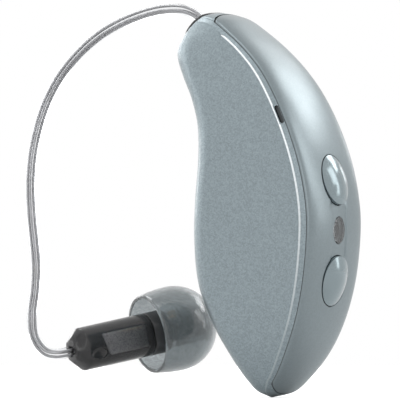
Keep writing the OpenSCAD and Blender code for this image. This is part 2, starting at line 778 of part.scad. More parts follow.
// Rings of points round a route, at a distance from it and an offset beside it
function unit(v) = v / norm(v);
function route_rings(route, count, sides, radius, offset = 0, turn = 0) =
    [for (i = [0:count])
        let (middle = blend(route, i / count))
        let (ahead = unit(blend(route, (i + look_ahead_share) / count)
            - blend(route, (i - look_ahead_share) / count)))
        let (level = unit(cross([0, 1, 0], ahead)))
        let (upright = cross(ahead, level))
        [for (j = [0:sides - 1])
            middle + offset * (level * cos(turn) + upright * sin(turn))
            + radius * (level * cos(360 * j / sides) - upright * sin(360 * j / sides))]];

// A tube along the route with a bore through it
module hose(route, outer, inner) {
    n = tube_sides;
    out = route_rings(route, tube_rings, n, outer / 2);
    in = route_rings(route, tube_rings, n, inner / 2);
    first = len(out) * n;
    last = tube_rings * n;
    polyhedron(
        points = concat([for (r = out) each r], [for (r = in) each r]),
        faces = concat(
            [for (i = [0:tube_rings - 1], j = [0:n - 1])
                let (a = i * n + j)
                let (b = i * n + (j + 1) % n)
                each [[a, b, b + n], [a, b + n, a + n],
                    [first + a, first + b + n, first + b], [first + a, first + a + n, first + b + n]]],
            [for (j = [0:n - 1])
                let (k = (j + 1) % n)
                let (far = first + last)
                each [[j, first + j, first + k], [j, first + k, k],
                    [last + j, last + k, far + k], [last + j, far + k, far + j]]]));
}

module lead_tube() color("whitesmoke") hose(lead_route(), lead_d, lead_bore);

module lead_conductors() color("silver") for (turn = [0:120:240])
    loft(route_rings(lead_route(), tube_rings, conductor_sides, conductor_d / 2, lead_bore / 4, turn));

// Receiver pieces stand on the receiver's rear end, looking along it, with its height upright
module on_receiver(along) {
    translate(receiver_at() + receiver_way() * along)
        rotate([0, 90 - receiver_rise, receiver_turn]) children();
}

// Cross-section of the housing: a circle with two flats, with a chamfered rear end
module receiver_body(from, to) intersection() {
    on_receiver(from) linear_extrude(height = to - from) intersection() {
        circle(d = receiver_height);
        square([receiver_height, receiver_width], center = true);
    }
    on_receiver(0) union() {
        cylinder(d1 = rear_d, d2 = receiver_height, h = rear_chamfer);
        translate([0, 0, rear_chamfer]) cylinder(d = receiver_height, h = receiver_length);
    }
}

module receiver_housing() color("dimgray") difference() {
    receiver_body(0, receiver_length - collar_length - rest_gap);
    on_receiver(-overrun) cylinder(d = lead_d + 2 * rest_gap, h = lead_grip + overrun + 2 * rest_gap);
    on_receiver(motor_from - receiver_wall) linear_extrude(height = receiver_length)
        square(receiver_width - 2 * receiver_wall, center = true);
    // Oval recess where a retention cord can be fixed
    on_receiver(recess_at) translate([recess_low, -receiver_width / 2, 0]) rotate([90, 0, 0])
        translate([0, 0, -recess_depth]) linear_extrude(height = recess_depth + overrun)
            scale([recess_width, recess_length]) circle(d = 1);
}

// Sound motor: a metal can with a closed end and a sound port
module receiver_motor() color("silver") on_receiver(motor_from) difference() {
    linear_extrude(height = motor_length) square([motor_size, motor_size], center = true);
    translate([0, 0, motor_length / 2]) cylinder(d = mic_port_d, h = motor_length);
}

module receiver_suspension() color("black") on_receiver(motor_from + motor_length + rest_gap) difference() {
    linear_extrude(height = suspension_length) square(motor_size, center = true);
    translate([0, 0, -overrun]) cylinder(d = motor_size - 2 * suspension_wall, h = motor_length);
}

// Rubber collar that closes the front of the housing round the spout
module receiver_collar() color("black") difference() {
    receiver_body(receiver_length - collar_length, receiver_length);
    on_receiver(0) cylinder(d = spout_d + seat_gap, h = receiver_length + overrun);
}

module receiver_spout() color("dimgray") on_receiver(receiver_length - spout_root) difference() {
    union() {
        cylinder(d = spout_d, h = spout_root + spout_length);
        translate([0, 0, spout_root + barb_at])
            cylinder(d1 = spout_d + 2 * barb_height, d2 = spout_d, h = barb_length);
    }
    translate([0, 0, -overrun]) cylinder(d = spout_bore(), h = spout_root + spout_length + 2 * overrun);
}
function spout_bore() = spout_d - 2 * spout_wall;

// Cup that keeps wax out of the spout
module wax_guard() color("white") on_receiver(receiver_length + spout_length) difference() {
    union() {
        translate([0, 0, -guard_length])
            cylinder(d = spout_bore() - seat_gap, h = guard_length + guard_flange);
        translate([0, 0, rest_gap]) cylinder(d = spout_bore() + 2 * guard_reach, h = guard_flange);
    }
    translate([0, 0, -guard_length - overrun])
        cylinder(d = spout_bore() - 2 * guard_wall, h = guard_length + overrun);
}

// Soft bell with an inner sleeve that clips over the spout
function dome_tip() = receiver_length + spout_length + guard_flange + seat_gap + tip_length;
function dome_middle() = dome_length - dome_d / 2;
module dome() color("slategray") on_receiver(dome_tip() - dome_length) rotate_extrude() dome_profile();
module dome_profile() {
    r = dome_d / 2;
    inside = r - dome_skin;
    middle = dome_middle();
    bore = spout_d / 2 + barb_height + rest_gap;
    sleeve = sleeve_d / 2;
    start = receiver_length + sleeve_start - dome_tip() + dome_length;
    top = acos(tip_bore / 2 / r);
    joins = acos(sleeve / inside);
    polygon(concat(
        [for (s = [0:0.25:0.75]) [r * (1 - rim_draw_share * pow(1 - s, 2)), middle * s]],
        [for (i = [0:9]) [r * cos(top * i / 9), middle + r * sin(top * i / 9)]],
        [[tip_bore / 2, dome_length - tip_length], [bore, dome_length - tip_length]],
        [[bore, start], [sleeve, start]],
        [for (i = [6:-1:0]) [inside * cos(joins * i / 6), middle + inside * sin(joins * i / 6)]],
        [for (s = [0.75:-0.25:0])
            [inside - r * rim_draw_share * pow(1 - s, 2), middle * s]]));
}

case_shell();
spine_cover();
upper_button();
upper_plunger();
lower_button();
lower_plunger();
upper_switch();
lower_switch();
switch_board();
indicator_window();
indicator_led();
chassis_frame();
circuit_board();
processor_chip();
radio_chip();
charging_chip();
front_microphone();
rear_microphone();
front_gasket();
rear_gasket();
microphone_screens();
telecoil_core();
telecoil_winding();
antenna();
battery_cell();
battery_insulator();
battery_cap();
battery_tabs();
upper_contact();
lower_contact();
connector_socket();
socket_springs();
lead_plug();
plug_pins();
plug_seal();
lead_tube();
lead_conductors();
receiver_housing();
receiver_motor();
receiver_suspension();
receiver_collar();
receiver_spout();
wax_guard();
dome();
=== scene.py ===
import math

import bmesh
import bpy
import numpy as np
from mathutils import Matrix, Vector


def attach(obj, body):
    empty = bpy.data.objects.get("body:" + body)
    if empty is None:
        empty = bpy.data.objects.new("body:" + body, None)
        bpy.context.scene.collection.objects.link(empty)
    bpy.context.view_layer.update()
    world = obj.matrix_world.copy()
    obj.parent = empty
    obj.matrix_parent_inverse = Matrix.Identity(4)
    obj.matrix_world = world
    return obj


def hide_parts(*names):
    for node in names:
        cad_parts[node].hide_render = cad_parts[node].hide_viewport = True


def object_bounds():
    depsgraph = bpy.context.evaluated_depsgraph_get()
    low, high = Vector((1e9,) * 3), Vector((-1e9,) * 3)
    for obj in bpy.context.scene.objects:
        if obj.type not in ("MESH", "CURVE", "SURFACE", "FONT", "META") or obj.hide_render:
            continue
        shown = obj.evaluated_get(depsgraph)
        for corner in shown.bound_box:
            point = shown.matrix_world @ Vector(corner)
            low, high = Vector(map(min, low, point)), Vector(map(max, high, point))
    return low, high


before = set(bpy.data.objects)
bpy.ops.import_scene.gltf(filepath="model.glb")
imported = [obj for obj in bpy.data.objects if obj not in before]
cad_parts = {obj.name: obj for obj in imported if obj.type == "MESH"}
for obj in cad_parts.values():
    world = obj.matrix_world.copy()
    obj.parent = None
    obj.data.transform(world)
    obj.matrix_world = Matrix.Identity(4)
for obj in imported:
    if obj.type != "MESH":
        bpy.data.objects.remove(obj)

cad_corners = [list(corner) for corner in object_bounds()]

# Camera and studio
# The photograph is taken with a long lens, 36 degrees round from the flat side and level with the object, on a
# white ground. A pale floor lies under the lower tip, and soft boxes stand where the finish shows them.
scene = bpy.context.scene
scene.view_settings.view_transform = "Standard"
view_turn = math.radians(36)
to_camera = Vector((math.sin(view_turn), -math.cos(view_turn), 0))
across_view = Vector((math.cos(view_turn), math.sin(view_turn), 0))
frame_middle = across_view * -0.001132 + Vector((0, 0, -0.004132))
frame_width = 0.03306
camera_data = bpy.data.cameras.new("long_lens")
camera_data.lens = 1300
camera_data.sensor_width = 36
camera_data.clip_start = 0.05
camera_data.clip_end = 10
camera = bpy.data.objects.new("long_lens", camera_data)
camera.location = frame_middle + to_camera * frame_width * camera_data.lens / camera_data.sensor_width
camera.rotation_euler = (-to_camera).to_track_quat("-Z", "Y").to_euler()
scene.collection.objects.link(camera)
scene.camera = camera


def feed(node, inputs):
    """Gives a node's inputs their values or links. A node stands for its first output."""
    for key, value in inputs.items():
        if isinstance(value, bpy.types.Node):
            value = value.outputs[0]
        if isinstance(value, bpy.types.NodeSocket):
            node.id_data.links.new(value, node.inputs[key])
        else:
            node.inputs[key].default_value = value


def add_node(tree, kind, inputs, operation=None, group=None):
    """Shader node with its operation or its group, and its inputs fed"""
    node = tree.nodes.new("ShaderNode" + kind)
    if operation:
        node.operation = operation
    if group:
        node.node_tree = group
    feed(node, inputs)
    return node


studio = bpy.data.worlds.new("white_studio")
scene.world = studio
studio.use_nodes = True
studio.node_tree.nodes.clear()
rays = add_node(studio.node_tree, "LightPath", {}).outputs
camera_or_glossy = add_node(studio.node_tree, "Math", {0: rays["Is Camera Ray"], 1: rays["Is Glossy Ray"]}, "MAXIMUM")
seen = add_node(studio.node_tree, "Math", {0: camera_or_glossy, 1: rays["Is Transmission Ray"]}, "MAXIMUM")
level = add_node(studio.node_tree, "MapRange", {"Value": seen, "To Min": 0.62, "To Max": 1.0})
ground_light = add_node(studio.node_tree, "Background", {"Color": (1, 1, 1, 1), "Strength": level})
add_node(studio.node_tree, "OutputWorld", {"Surface": ground_light})

# Area lamps that shine back at the object: way and distance from it, width, height, and brightness beside white
soft_boxes = (
    ("box_over_nose", (-0.22, 0.80, 0.55), 0.35, 0.11, 0.09, 0.34),
    ("box_over_top", (0.06, 0.78, 0.62), 0.35, 0.11, 0.10, 1.84),
    ("box_over_arch", (0.30, 0.73, 0.61), 0.35, 0.10, 0.10, 3.60),
    ("box_over_shoulder", (0.44, 0.74, 0.52), 0.35, 0.08, 0.06, 3.30),
    ("strip_beside", (0.77, 0.44, 0.45), 0.30, 0.10, 0.13, 2.20),
    ("strip_behind", (0.02, 0.97, 0.22), 0.30, 0.04, 0.05, 2.20),
    ("low_beside", (0.80, 0.60, 0.13), 0.30, 0.05, 0.08, 2.20),
    ("box_behind_ear_side", (-0.85, 0.50, 0.30), 0.30, 0.10, 0.12, 2.20),
    ("rim_low", (-0.85, 0.55, 0.03), 0.30, 0.10, 0.03, 0.43),
    ("box_ear_side", (-0.97, 0.14, 0.22), 0.32, 0.08, 0.13, 4.00),
    ("box_left", (-0.90, -0.35, 0.30), 0.32, 0.12, 0.16, 2.14),
    ("strip_front", (0.00, -1.00, 0.35), 0.32, 0.05, 0.22, 1.60),
    ("box_right", (0.75, -0.60, 0.30), 0.32, 0.10, 0.18, 1.37),
    ("box_high_left", (-0.60, 0.10, 0.80), 0.35, 0.15, 0.15, 3.60),
    ("box_high", (0.00, -0.20, 0.97), 0.35, 0.15, 0.12, 2.17))
for name, way, distance, width, height, strength in soft_boxes:
    lamp = bpy.data.lights.new(name, "AREA")
    lamp.shape = "RECTANGLE"
    lamp.size, lamp.size_y = width, height
    lamp.energy = strength * math.pi * width * height
    box = bpy.data.objects.new(name, lamp)
    way = Vector(way).normalized()
    box.location = frame_middle + way * distance
    box.rotation_euler = way.to_track_quat("Z", "Y").to_euler()
    box.visible_camera = False
    scene.collection.objects.link(box)


def full_turn(count):
    """Angles of a full turn in even steps"""
    return np.linspace(0, 2 * math.pi, count + 1)[:-1]


floor_radius, floor_sides, floor_z = 0.22, 96, cad_corners[0][2] - 0.00002
floor_mesh = bpy.data.meshes.new("pale_floor")
floor_mesh.from_pydata(
    [(0, 0, floor_z)] + [(floor_radius * math.cos(a), floor_radius * math.sin(a), floor_z)
                         for a in full_turn(floor_sides).tolist()],
    [], [(0, 1 + i, 1 + (i + 1) % floor_sides) for i in range(floor_sides)])
pale_floor = bpy.data.objects.new("pale_floor", floor_mesh)
scene.collection.objects.link(pale_floor)
floor_finish = bpy.data.materials.new("pale_floor")
floor_finish.use_nodes = True
floor_tree = floor_finish.node_tree
floor_tree.nodes.clear()
floor_paint = add_node(floor_tree, "BsdfDiffuse", {"Color": (0.90, 0.90, 0.90, 1)})
floor_seen = add_node(floor_tree, "LightPath", {}).outputs["Is Camera Ray"]
floor_glow = add_node(floor_tree, "Emission", {"Strength": add_node(floor_tree, "Math", {0: floor_seen, 1: 0.45},
                                                                    "MULTIPLY")})
add_node(floor_tree, "OutputMaterial", {"Surface": add_node(floor_tree, "AddShader", {0: floor_paint, 1: floor_glow})})
floor_mesh.materials.append(floor_finish)

# Case shell
# The real shell is moulded plastic, sprayed with a satin metallic lacquer that holds fine flakes. It is one skin
# through the sections below, with a seat for the spine cover, two microphone slots, the land of the charging
# contacts and a square-cut nose with a hole for the plug's socket. Sizes are in millimetres.
case_sections = np.array([
    [0.461, -0.644, 0.461, -0.644, 0], [0.391, -0.623, 0.580, -0.627, 0.243],
    [0.320, -0.592, 0.706, -0.576, 0.346], [0.188, -0.511, 0.816, -0.511, 0.425],
    [0.078, -0.432, 0.908, -0.427, 0.467], [-0.004, -0.341, 0.970, -0.330, 0.492],
    [-0.031, -0.230, 1, -0.221, 0.5], [-0.023, -0.129, 0.992, -0.136, 0.5],
    [0, -0.025, 0.938, -0.038, 0.498], [-0.008, 0.060, 0.844, 0.058, 0.485],
    [-0.062, 0.129, 0.731, 0.141, 0.461], [-0.141, 0.186, 0.606, 0.208, 0.425],
    [-0.195, 0.230, 0.454, 0.267, 0.394], [-0.207, 0.252, 0.292, 0.317, 0.364],
    [-0.195, 0.268, 0.186, 0.344, 0.334], [-0.172, 0.278, 0.074, 0.356, 0.303],
    [-0.145, 0.279, 0.047, 0.352, 0.285]])
case_depth, case_length, case_thickness = 12.8, 31.7, 8.24
arch_depth, bevel_depth, bevel_set_back, ear_rounding = 0.65, 0.5, 0.37, 2.4
cover_from, cover_to, cover_end, tip_share = 0.047, 0.912, 0.05, 0.004
seam_gap, inlet_gap = 0.04, 0.003
ear_power = 0.87


def along(values, share):
    """Smooth curve through rows of values, at shares of its length"""
    values = np.asarray(values, float)
    last = len(values) - 1
    at = np.clip(np.asarray(share, float), 0, 1) * last
    i = np.minimum(np.floor(at).astype(int), last - 1)
    f = (at - i)[..., None]
    wide = np.vstack([2 * values[0] - values[1], values, 2 * values[-1] - values[-2]])
    a, b, c, d = wide[i], wide[i + 1], wide[i + 2], wide[i + 3]
    return (2 * b + f * (c - a) + f * f * (2 * a - 5 * b + 4 * c - d) + f ** 3 * (3 * b - a - 3 * c + d)) / 2


def unit(way):
    """Directions with a length of one"""
    return way / np.maximum(np.linalg.norm(way, axis=-1, keepdims=True), 1e-9)


class Place:
    """Point and three directions that pieces are drawn about"""

    def __init__(self, middle, *ways):
        self.middle, self.ways = middle, ways

    def at(self, *distances):
        """Points at distances along the three directions"""
        point = self.middle
        for distance, way in zip(np.broadcast_arrays(*distances), self.ways):
            point = point + distance[..., None] * way
        return point

    def oval(self, reach, width, height, turn):
        """Points of an oval at a height, at some angles"""
        return self.at(reach * np.cos(turn), width * np.sin(turn), height)


def case_at(share):
    """Ear side point, way to the spine, depth, half thickness, scale of the roundings, and the seam's half width and
    depth"""
    row = along(case_sections, share)
    ear = row[..., 0:2] * [case_depth, case_length]
    spine = row[..., 2:4] * [case_depth, case_length]
    depth, back = np.linalg.norm(spine - ear, axis=-1), unit(spine - ear)
    half = np.maximum(row[..., 4], 0) * case_thickness
    k = np.minimum(1, depth / (arch_depth + bevel_depth + ear_rounding + bevel_set_back))
    return ear, back, depth, half, k, half * (1 - 2 * bevel_set_back / case_thickness), depth - arch_depth * k


def case_points(share, depth, side):
    """Points at a depth from the ear side and a distance to one side"""
    ear, back = case_at(share)[:2]
    while ear.ndim < np.ndim(depth) + 1:
        ear, back = ear[..., None, :], back[..., None, :]
    flat = ear + np.asarray(depth)[..., None] * back
    return np.stack([flat[..., 0], np.broadcast_to(side, flat.shape[:-1]), flat[..., 1]], axis=-1)


def skin_depth(share, side):
    """Depth of the case's back at a distance to one side: the arch, and beyond it the bevelled band"""
    half, k, seam_half, seam = case_at(share)[3:]
    while np.ndim(half) < np.ndim(side):
        half, k, seam_half, seam = half[..., None], k[..., None], seam_half[..., None], seam[..., None]
    side = np.abs(side)
    on_arch = seam + arch_depth * k * np.sqrt(np.maximum(0, 1 - (side / np.maximum(seam_half, 1e-9)) ** 2))
    on_band = seam - bevel_depth * k * (side - seam_half) / np.maximum(half - seam_half, 1e-9)
    return np.where(side <= seam_half, on_arch, on_band)


def seat_half(share, start, end):
    """Half width of the spine cover's seat, rounded at both ends"""
    near = np.clip(np.minimum(share - start, end - share) / cover_end, 0, 1)
    return case_at(share)[5] * np.sqrt(1 - (1 - near) ** 2)


def quarter(count):
    """Shares of a quarter turn, close together where it starts"""
    return 1 - np.cos(np.linspace(0, math.pi / 2, count))


seat_from, seat_to = cover_from - inlet_gap / 2, cover_to + inlet_gap
case_shares = np.unique(np.concatenate([
    tip_share + (seat_from - tip_share) * np.linspace(0, 1, 18) ** 1.6,
    seat_from + cover_end * quarter(16), seat_to - cover_end * quarter(16),
    np.linspace(seat_from + cover_end, seat_to - cover_end, 190), np.linspace(seat_to, 1, 16)]).round(9))
fillet, crease_leg, band_leg_share, groove_depth = 0.03, 0.088, 0.6, 0.12
in_seat = (case_shares > seat_from + 1e-9) & (case_shares < seat_to - 1e-9)
depth, half, k, seam_half, seam = case_at(case_shares)[2:]
cut = np.where(in_seat, seat_half(case_shares, seat_from, seat_to) + seam_gap, 0)
soft = np.where(in_seat, fillet, 0)
edge = skin_depth(case_shares, cut)
start = cut + soft
floor_depth = np.where(in_seat, seam - groove_depth, edge)
wall_rows = [(floor_depth, 0 * cut), (floor_depth, cut), (edge - soft, cut), (edge - 0.3 * soft, cut + 0.3 * soft)]
first_angle = np.arcsin(np.clip(start / np.maximum(seam_half, 1e-9), 0, 1))
arch_sides = [np.where(start < seam_half, seam_half * np.sin(first_angle + (math.pi / 2 - first_angle) * t), start)
              for t in np.linspace(0, 1, 11)]
band_start, band_end = np.maximum(start, seam_half), half - crease_leg * band_leg_share * k
band_sides = [band_start + (band_end - band_start) * t for t in np.linspace(0, 1, 8)[1:]]
back_rows = [(skin_depth(case_shares, side), side) for side in arch_sides + band_sides]
crease = seam - bevel_depth * k


def bend(start, corner, end, t):
    """Place on a curve that leaves its start towards a corner and comes to its end from there"""
    return (1 - t) ** 2 * start + 2 * t * (1 - t) * corner + t * t * end


crease_rows = [(bend(skin_depth(case_shares, band_end), crease, crease - crease_leg * k, t),
                bend(band_end, half, half, t)) for t in np.linspace(0, 1, 7)[1:]]
side_rows = [((crease - crease_leg * k) * (1 - t) + ear_rounding * k * t, half) for t in np.linspace(0, 1, 13)[1:]]
ear_rows = [(ear_rounding * k * (1 - math.cos(a) ** ear_power), half * math.sin(a) ** ear_power)
            for a in np.radians(np.concatenate([np.linspace(84, 12, 15), [9, 6, 3.5, 1.5]]))]
ear_rows.append((0 * depth, 0 * depth))
half_rows = wall_rows + back_rows + crease_rows + side_rows + ear_rows
row_depth, row_side = np.array(half_rows).transpose(1, 2, 0)
rows = len(half_rows)
case_grid = np.concatenate([case_points(case_shares, row_depth, -row_side),
                            case_points(case_shares, row_depth, row_side)[:, rows - 2:0:-1]], axis=1)
nose_round = 0.05
nose_place = case_points(np.array([1.0]), depth[-1:, None] / 2, np.array([[0.0]]))[0, 0]
nose_back = case_at(np.array([1.0]))[1][0]
nose_out = np.array([-nose_back[1], 0, nose_back[0]])
nose_ring = case_grid[-1].copy()
case_grid[-1] = nose_ring - nose_round * nose_out


class Skin:
    """Points and faces of a piece while it is drawn, in millimetres"""

    def __init__(self):
        self.points, self.faces, self.finish = [], [], []

    def add(self, points):
        """Numbers of new points, in the array's own rows"""
        first = len(self.points)
        self.points.extend(np.asarray(points, float).reshape(-1, 3).tolist())
        return np.arange(first, len(self.points)).reshape(np.shape(points)[:-1])

    def face(self, finish, *numbers):
        self.faces.append([int(n) for n in numbers])
        self.finish.append(finish)

    def quads(self, grid, closed=False, skip=(), finish=lambda i, j: 0):
        """Faces between rows of point numbers"""
        columns = grid.shape[1]
        for i in range(grid.shape[0] - 1):
            for j in range(columns if closed else columns - 1):
                if not any(a <= i < b and j in cells for a, b, cells in skip):
                    n = (j + 1) % columns
                    self.face(finish(i, j), grid[i, j], grid[i, n], grid[i + 1, n], grid[i + 1, j])

    def loops(self, first, more, finish=0):
        """Closed bands of faces from a loop of point numbers inwards through loops of points"""
        for loop in more:
            inner = self.add(loop)
            for a, b, c, d in zip(first, np.roll(first, -1), np.roll(inner, -1), inner):
                self.face(finish, a, b, c, d)
            first = inner
        return first

    def close(self, loop, finish=0):
        """Fan of faces from a loop of point numbers to its middle"""
        middle = self.add(np.mean([self.points[i] for i in loop], axis=0))
        for a, b in zip(loop, np.roll(loop, -1)):
            self.face(finish, a, b, middle)

    def solid(self, rings):
        """Closed body through rings of points"""
        first = self.add(rings[0])
        self.close(first)
        self.close(self.loops(first, rings[1:]))

    def block(self, grid, i0, i1, cells):
        """Numbers and points round a block of a grid, from station i0 to i1 and over the columns of some cells"""
        columns = [*cells, (cells[-1] + 1) % grid.shape[1]]
        loop = ([grid[i0, j] for j in columns[:-1]] + [grid[i, columns[-1]] for i in range(i0, i1)]
                + [grid[i1, j] for j in columns[:0:-1]] + [grid[i, columns[0]] for i in range(i1, i0, -1)])
        return loop, np.array([self.points[i] for i in loop])

    def piece(self, name, finishes, body, nodes=(), sharp=40):
        """Welds the points, makes the object and gives it to its body"""
        mesh = bpy.data.meshes.new(name)
        mesh.from_pydata((np.array(self.points) / 1000).tolist(), [], self.faces)
        mesh.polygons.foreach_set("material_index", self.finish)
        shape = bmesh.new()
        shape.from_mesh(mesh)
        bmesh.ops.remove_doubles(shape, verts=shape.verts, dist=5e-7)
        bmesh.ops.dissolve_degenerate(shape, edges=shape.edges, dist=2e-7)
        bmesh.ops.delete(shape, geom=[v for v in shape.verts if not v.link_faces], context="VERTS")
        bmesh.ops.recalc_face_normals(shape, faces=shape.faces)
        shape.to_mesh(mesh)
        shape.free()
        mesh.shade_smooth()
        mesh.set_sharp_from_angle(angle=math.radians(sharp))
        for finish in finishes:
            mesh.materials.append(finish)
        made = bpy.data.objects.new(name, mesh)
        scene.collection.objects.link(made)
        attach(made, body)
        if nodes:
            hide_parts(*nodes)


def rounded_slot(x, y, reach, radius):
    """Nearest points of a round-ended slot's edge"""
    on_line = np.clip(x, -reach, reach)
    length = np.maximum(np.hypot(x - on_line, y), 1e-9)
    return on_line + radius * (x - on_line) / length, radius * y / length


case_skin = Skin()
case_numbers = case_skin.add(case_grid)
columns = case_numbers.shape[1]
band_first = len(wall_rows) + len(arch_sides) - 1
crease_first = band_first + len(band_sides)
slot_cells = range(2, crease_first + 2)
far_slot_cells = [columns - 1 - j for j in slot_cells][::-1]
crease_cells = set(range(crease_first, crease_first + len(crease_rows)))
crease_cells |= {columns - 1 - j for j in crease_cells}
slot_share, slot_reach, slot_radius, slot_depth, slot_margin = 0.587, 0.635, 0.18, 0.6, 0.2
skips, slots = [], []
near_slot = slot_share + np.array([-0.001, 0, 0.001])
half_there, _, seam_half_there, seam_there = case_at(near_slot)[3:]
for side, cells, band_column in ((-1, slot_cells, band_first + 4), (1, far_slot_cells, columns - band_first - 4)):
    line = case_points(near_slot, (seam_there - bevel_depth / 2)[:, None],
                       (side * (half_there + seam_half_there) / 2)[:, None])[:, 0]
    middle, run = line[1], unit(line[2] - line[0])
    over = middle - case_points(near_slot, seam_there[:, None], side * seam_half_there[:, None])[1, 0]
    over = unit(over - over @ run * run)
    inwards = np.cross(run, over)
    near = np.abs((case_grid[:, band_column] - middle) @ run) <= slot_reach + slot_radius + slot_margin
    i0, i1 = np.nonzero(near & (np.abs(case_shares - slot_share) < 0.06))[0][[0, -1]]
    skips.append((i0, i1, cells))
    slots.append(Place(middle, run, over, inwards * -side * np.sign(inwards[1])))
land_share, land_depth, contact_step = 0.377, 0.12, 1.5
land_x, land_z = case_at(np.array([land_share]))[0][0] + [land_depth, 0]
land_cells = range(rows - 8, rows + 6)
ear_z = case_at(case_shares)[0][:, 1]
near = (np.abs(ear_z - land_z) <= 2 * contact_step) & (case_shares < 0.5) & (case_shares > 0.25)
land_first, land_last = np.nonzero(near)[0][[0, -1]]
skips.append((land_first, land_last, land_cells))
bare_columns = {0, 1, columns - 2, columns - 1}
# Crease cells below this height take finish 2, the painted crease highlight.
crease_top = 9.4
case_skin.quads(case_numbers, closed=True, skip=skips, finish=lambda i, j: 3 if j in bare_columns else
                2 if j in crease_cells and case_grid[i, j, 2] < crease_top else 0)
for slot, (i0, i1, cells) in zip(slots, skips):
    edge_loop, rim = case_skin.block(case_numbers, i0, i1, cells)
    x, y = (rim - slot.middle) @ slot.ways[0], (rim - slot.middle) @ slot.ways[1]
    rings = [slot.at(*rounded_slot(x, y, slot_reach, radius), deep) for radius, deep in (
        (slot_radius + 0.02, 0), (slot_radius + 0.005, 0.006), (slot_radius, 0.02), (slot_radius, 0.12),
        (slot_radius, slot_depth))]
    inner = case_skin.loops(edge_loop, rings[:3])
    inner = case_skin.loops(inner, rings[3:], finish=1)
    case_skin.close(inner, finish=1)


def ear_surface_x(z, y):
    """Place of the ear side's surface at a height and a distance to one side"""
    near = land_first - 8 + np.argsort(ear_z[land_first - 8:land_last + 8])
    share = np.interp(z, ear_z[near], case_shares[near])
    ear, _, _, half_there = case_at(share)[:4]
    angle = np.arcsin(np.clip(np.abs(y) / half_there, 0, 1) ** (1 / ear_power))
    return ear[:, 0] + ear_rounding * (1 - np.cos(angle) ** ear_power)


land_loop, rim = case_skin.block(case_numbers, land_first, land_last, land_cells)
rings = []
for radius, wall in ((1.24, 0), (1.21, 0.15), (1.2, 1), (1.0, 1), (0.6, 1), (0.25, 1), (0.0, 1)):
    lz, ly = rounded_slot(rim[:, 2] - land_z, rim[:, 1], contact_step, radius)
    surface = ear_surface_x(lz + land_z, ly)
    flat = np.maximum(surface, land_x)
    rings.append(np.stack([surface * (1 - wall) + flat * wall, ly, lz + land_z], axis=1))
case_skin.loops(land_loop, rings)
case_skin.close(case_numbers[0])
out_ring = nose_ring - nose_place
socket_hole, socket_depth = 1.38, 1.2
way = unit(out_ring)
hole_ring = nose_place + way * socket_hole
inner = case_skin.loops(case_numbers[-1], [nose_ring - 0.012 * (nose_out + way), nose_ring - way * nose_round])
case_skin.loops(inner, [nose_ring - way * 0.3, hole_ring + way * nose_round, hole_ring - nose_out * nose_round,
                        hole_ring - nose_out * socket_depth], finish=1)

# The lacquer and the bare moulding under it. Flakes, and a faint unevenness, come from one node group.


def new_group(name, inputs, outputs):
    """Node group with its sockets: its tree, its inputs inside, and the place on the object"""
    tree = bpy.data.node_groups.new(name, "ShaderNodeTree")
    for label, value in inputs.items():
        kind = "NodeSocketColor" if isinstance(value, tuple) else "NodeSocketFloat"
        tree.interface.new_socket(label, in_out="INPUT", socket_type=kind).default_value = value
    for label in outputs:
        kind = "NodeSocketColor" if label == "Color" else "NodeSocketFloat"
        tree.interface.new_socket(label, in_out="OUTPUT", socket_type=kind)
    return tree, tree.nodes.new("NodeGroupInput").outputs, add_node(tree, "TexCoord", {}).outputs["Object"]


flakes, flake_in, flake_place = new_group(
    "lacquer_flakes", {"Paint": (0.3, 0.3, 0.3, 1), "Flake Scale": 9500, "Flake Contrast": 0.12, "Unevenness": 0.03},
    ("Color", "Height", "Wear"))
flake_cells = add_node(flakes, "TexVoronoi", {"Vector": flake_place, "Scale": flake_in["Flake Scale"],
                                              "Randomness": 1.0})
flake_split = add_node(flakes, "SeparateColor", {0: flake_cells.outputs["Color"]})
spread = add_node(flakes, "Math", {0: flake_split, 1: 2.0, 2: -1.0}, "MULTIPLY_ADD")
contrast = add_node(flakes, "Math", {0: spread, 1: flake_in["Flake Contrast"]}, "MULTIPLY")
uneven = add_node(flakes, "TexNoise", {"Vector": flake_place, "Scale": 420, "Detail": 3})
uneven_spread = add_node(flakes, "Math", {0: uneven, 1: 2.0, 2: -1.0}, "MULTIPLY_ADD")
total = add_node(flakes, "Math", {0: uneven_spread, 1: flake_in["Unevenness"], 2: contrast}, "MULTIPLY_ADD")
factor = add_node(flakes, "Math", {0: total, 1: 1.0}, "ADD")
tinted = add_node(flakes, "VectorMath", {0: flake_in["Paint"], "Scale": factor}, "SCALE")
feed(flakes.nodes.new("NodeGroupOutput"), {"Color": tinted, "Height": flake_split.outputs[1], "Wear": uneven})


def new_finish(name, **sockets):
    """Material, its tree and its one Principled shader, with constant values on the shader's sockets"""
    material = bpy.data.materials.new(name)
    material.use_nodes = True
    shader = material.node_tree.nodes["Principled BSDF"]
    feed(shader, {key.replace("_", " "): value for key, value in sockets.items()})
    return material, material.node_tree, shader


def lacquer(name, paint, roughness, metallic, flake_contrast, coat):
    """Satin or glossy metallic lacquer"""
    material, tree, shader = new_finish(name, Roughness=roughness, Metallic=metallic, Coat_Weight=coat,
                                        Coat_Roughness=0.2)
    flaked = add_node(tree, "Group", {"Paint": (*paint, 1), "Flake Contrast": flake_contrast}, group=flakes)
    bump = add_node(tree, "Bump", {"Strength": 0.35, "Distance": 0.000004, "Height": flaked.outputs["Height"]})
    worn = add_node(tree, "MapRange", {"Value": flaked.outputs["Wear"], "To Min": roughness - 0.03,
                                       "To Max": roughness + 0.03})
    feed(shader, {"Base Color": flaked, "Normal": bump, "Roughness": worn})
    return material


case_paint = (0.242, 0.292, 0.315)
case_lacquer = lacquer("satin_case", case_paint, 0.40, 0.7, 0.15, 0.35)
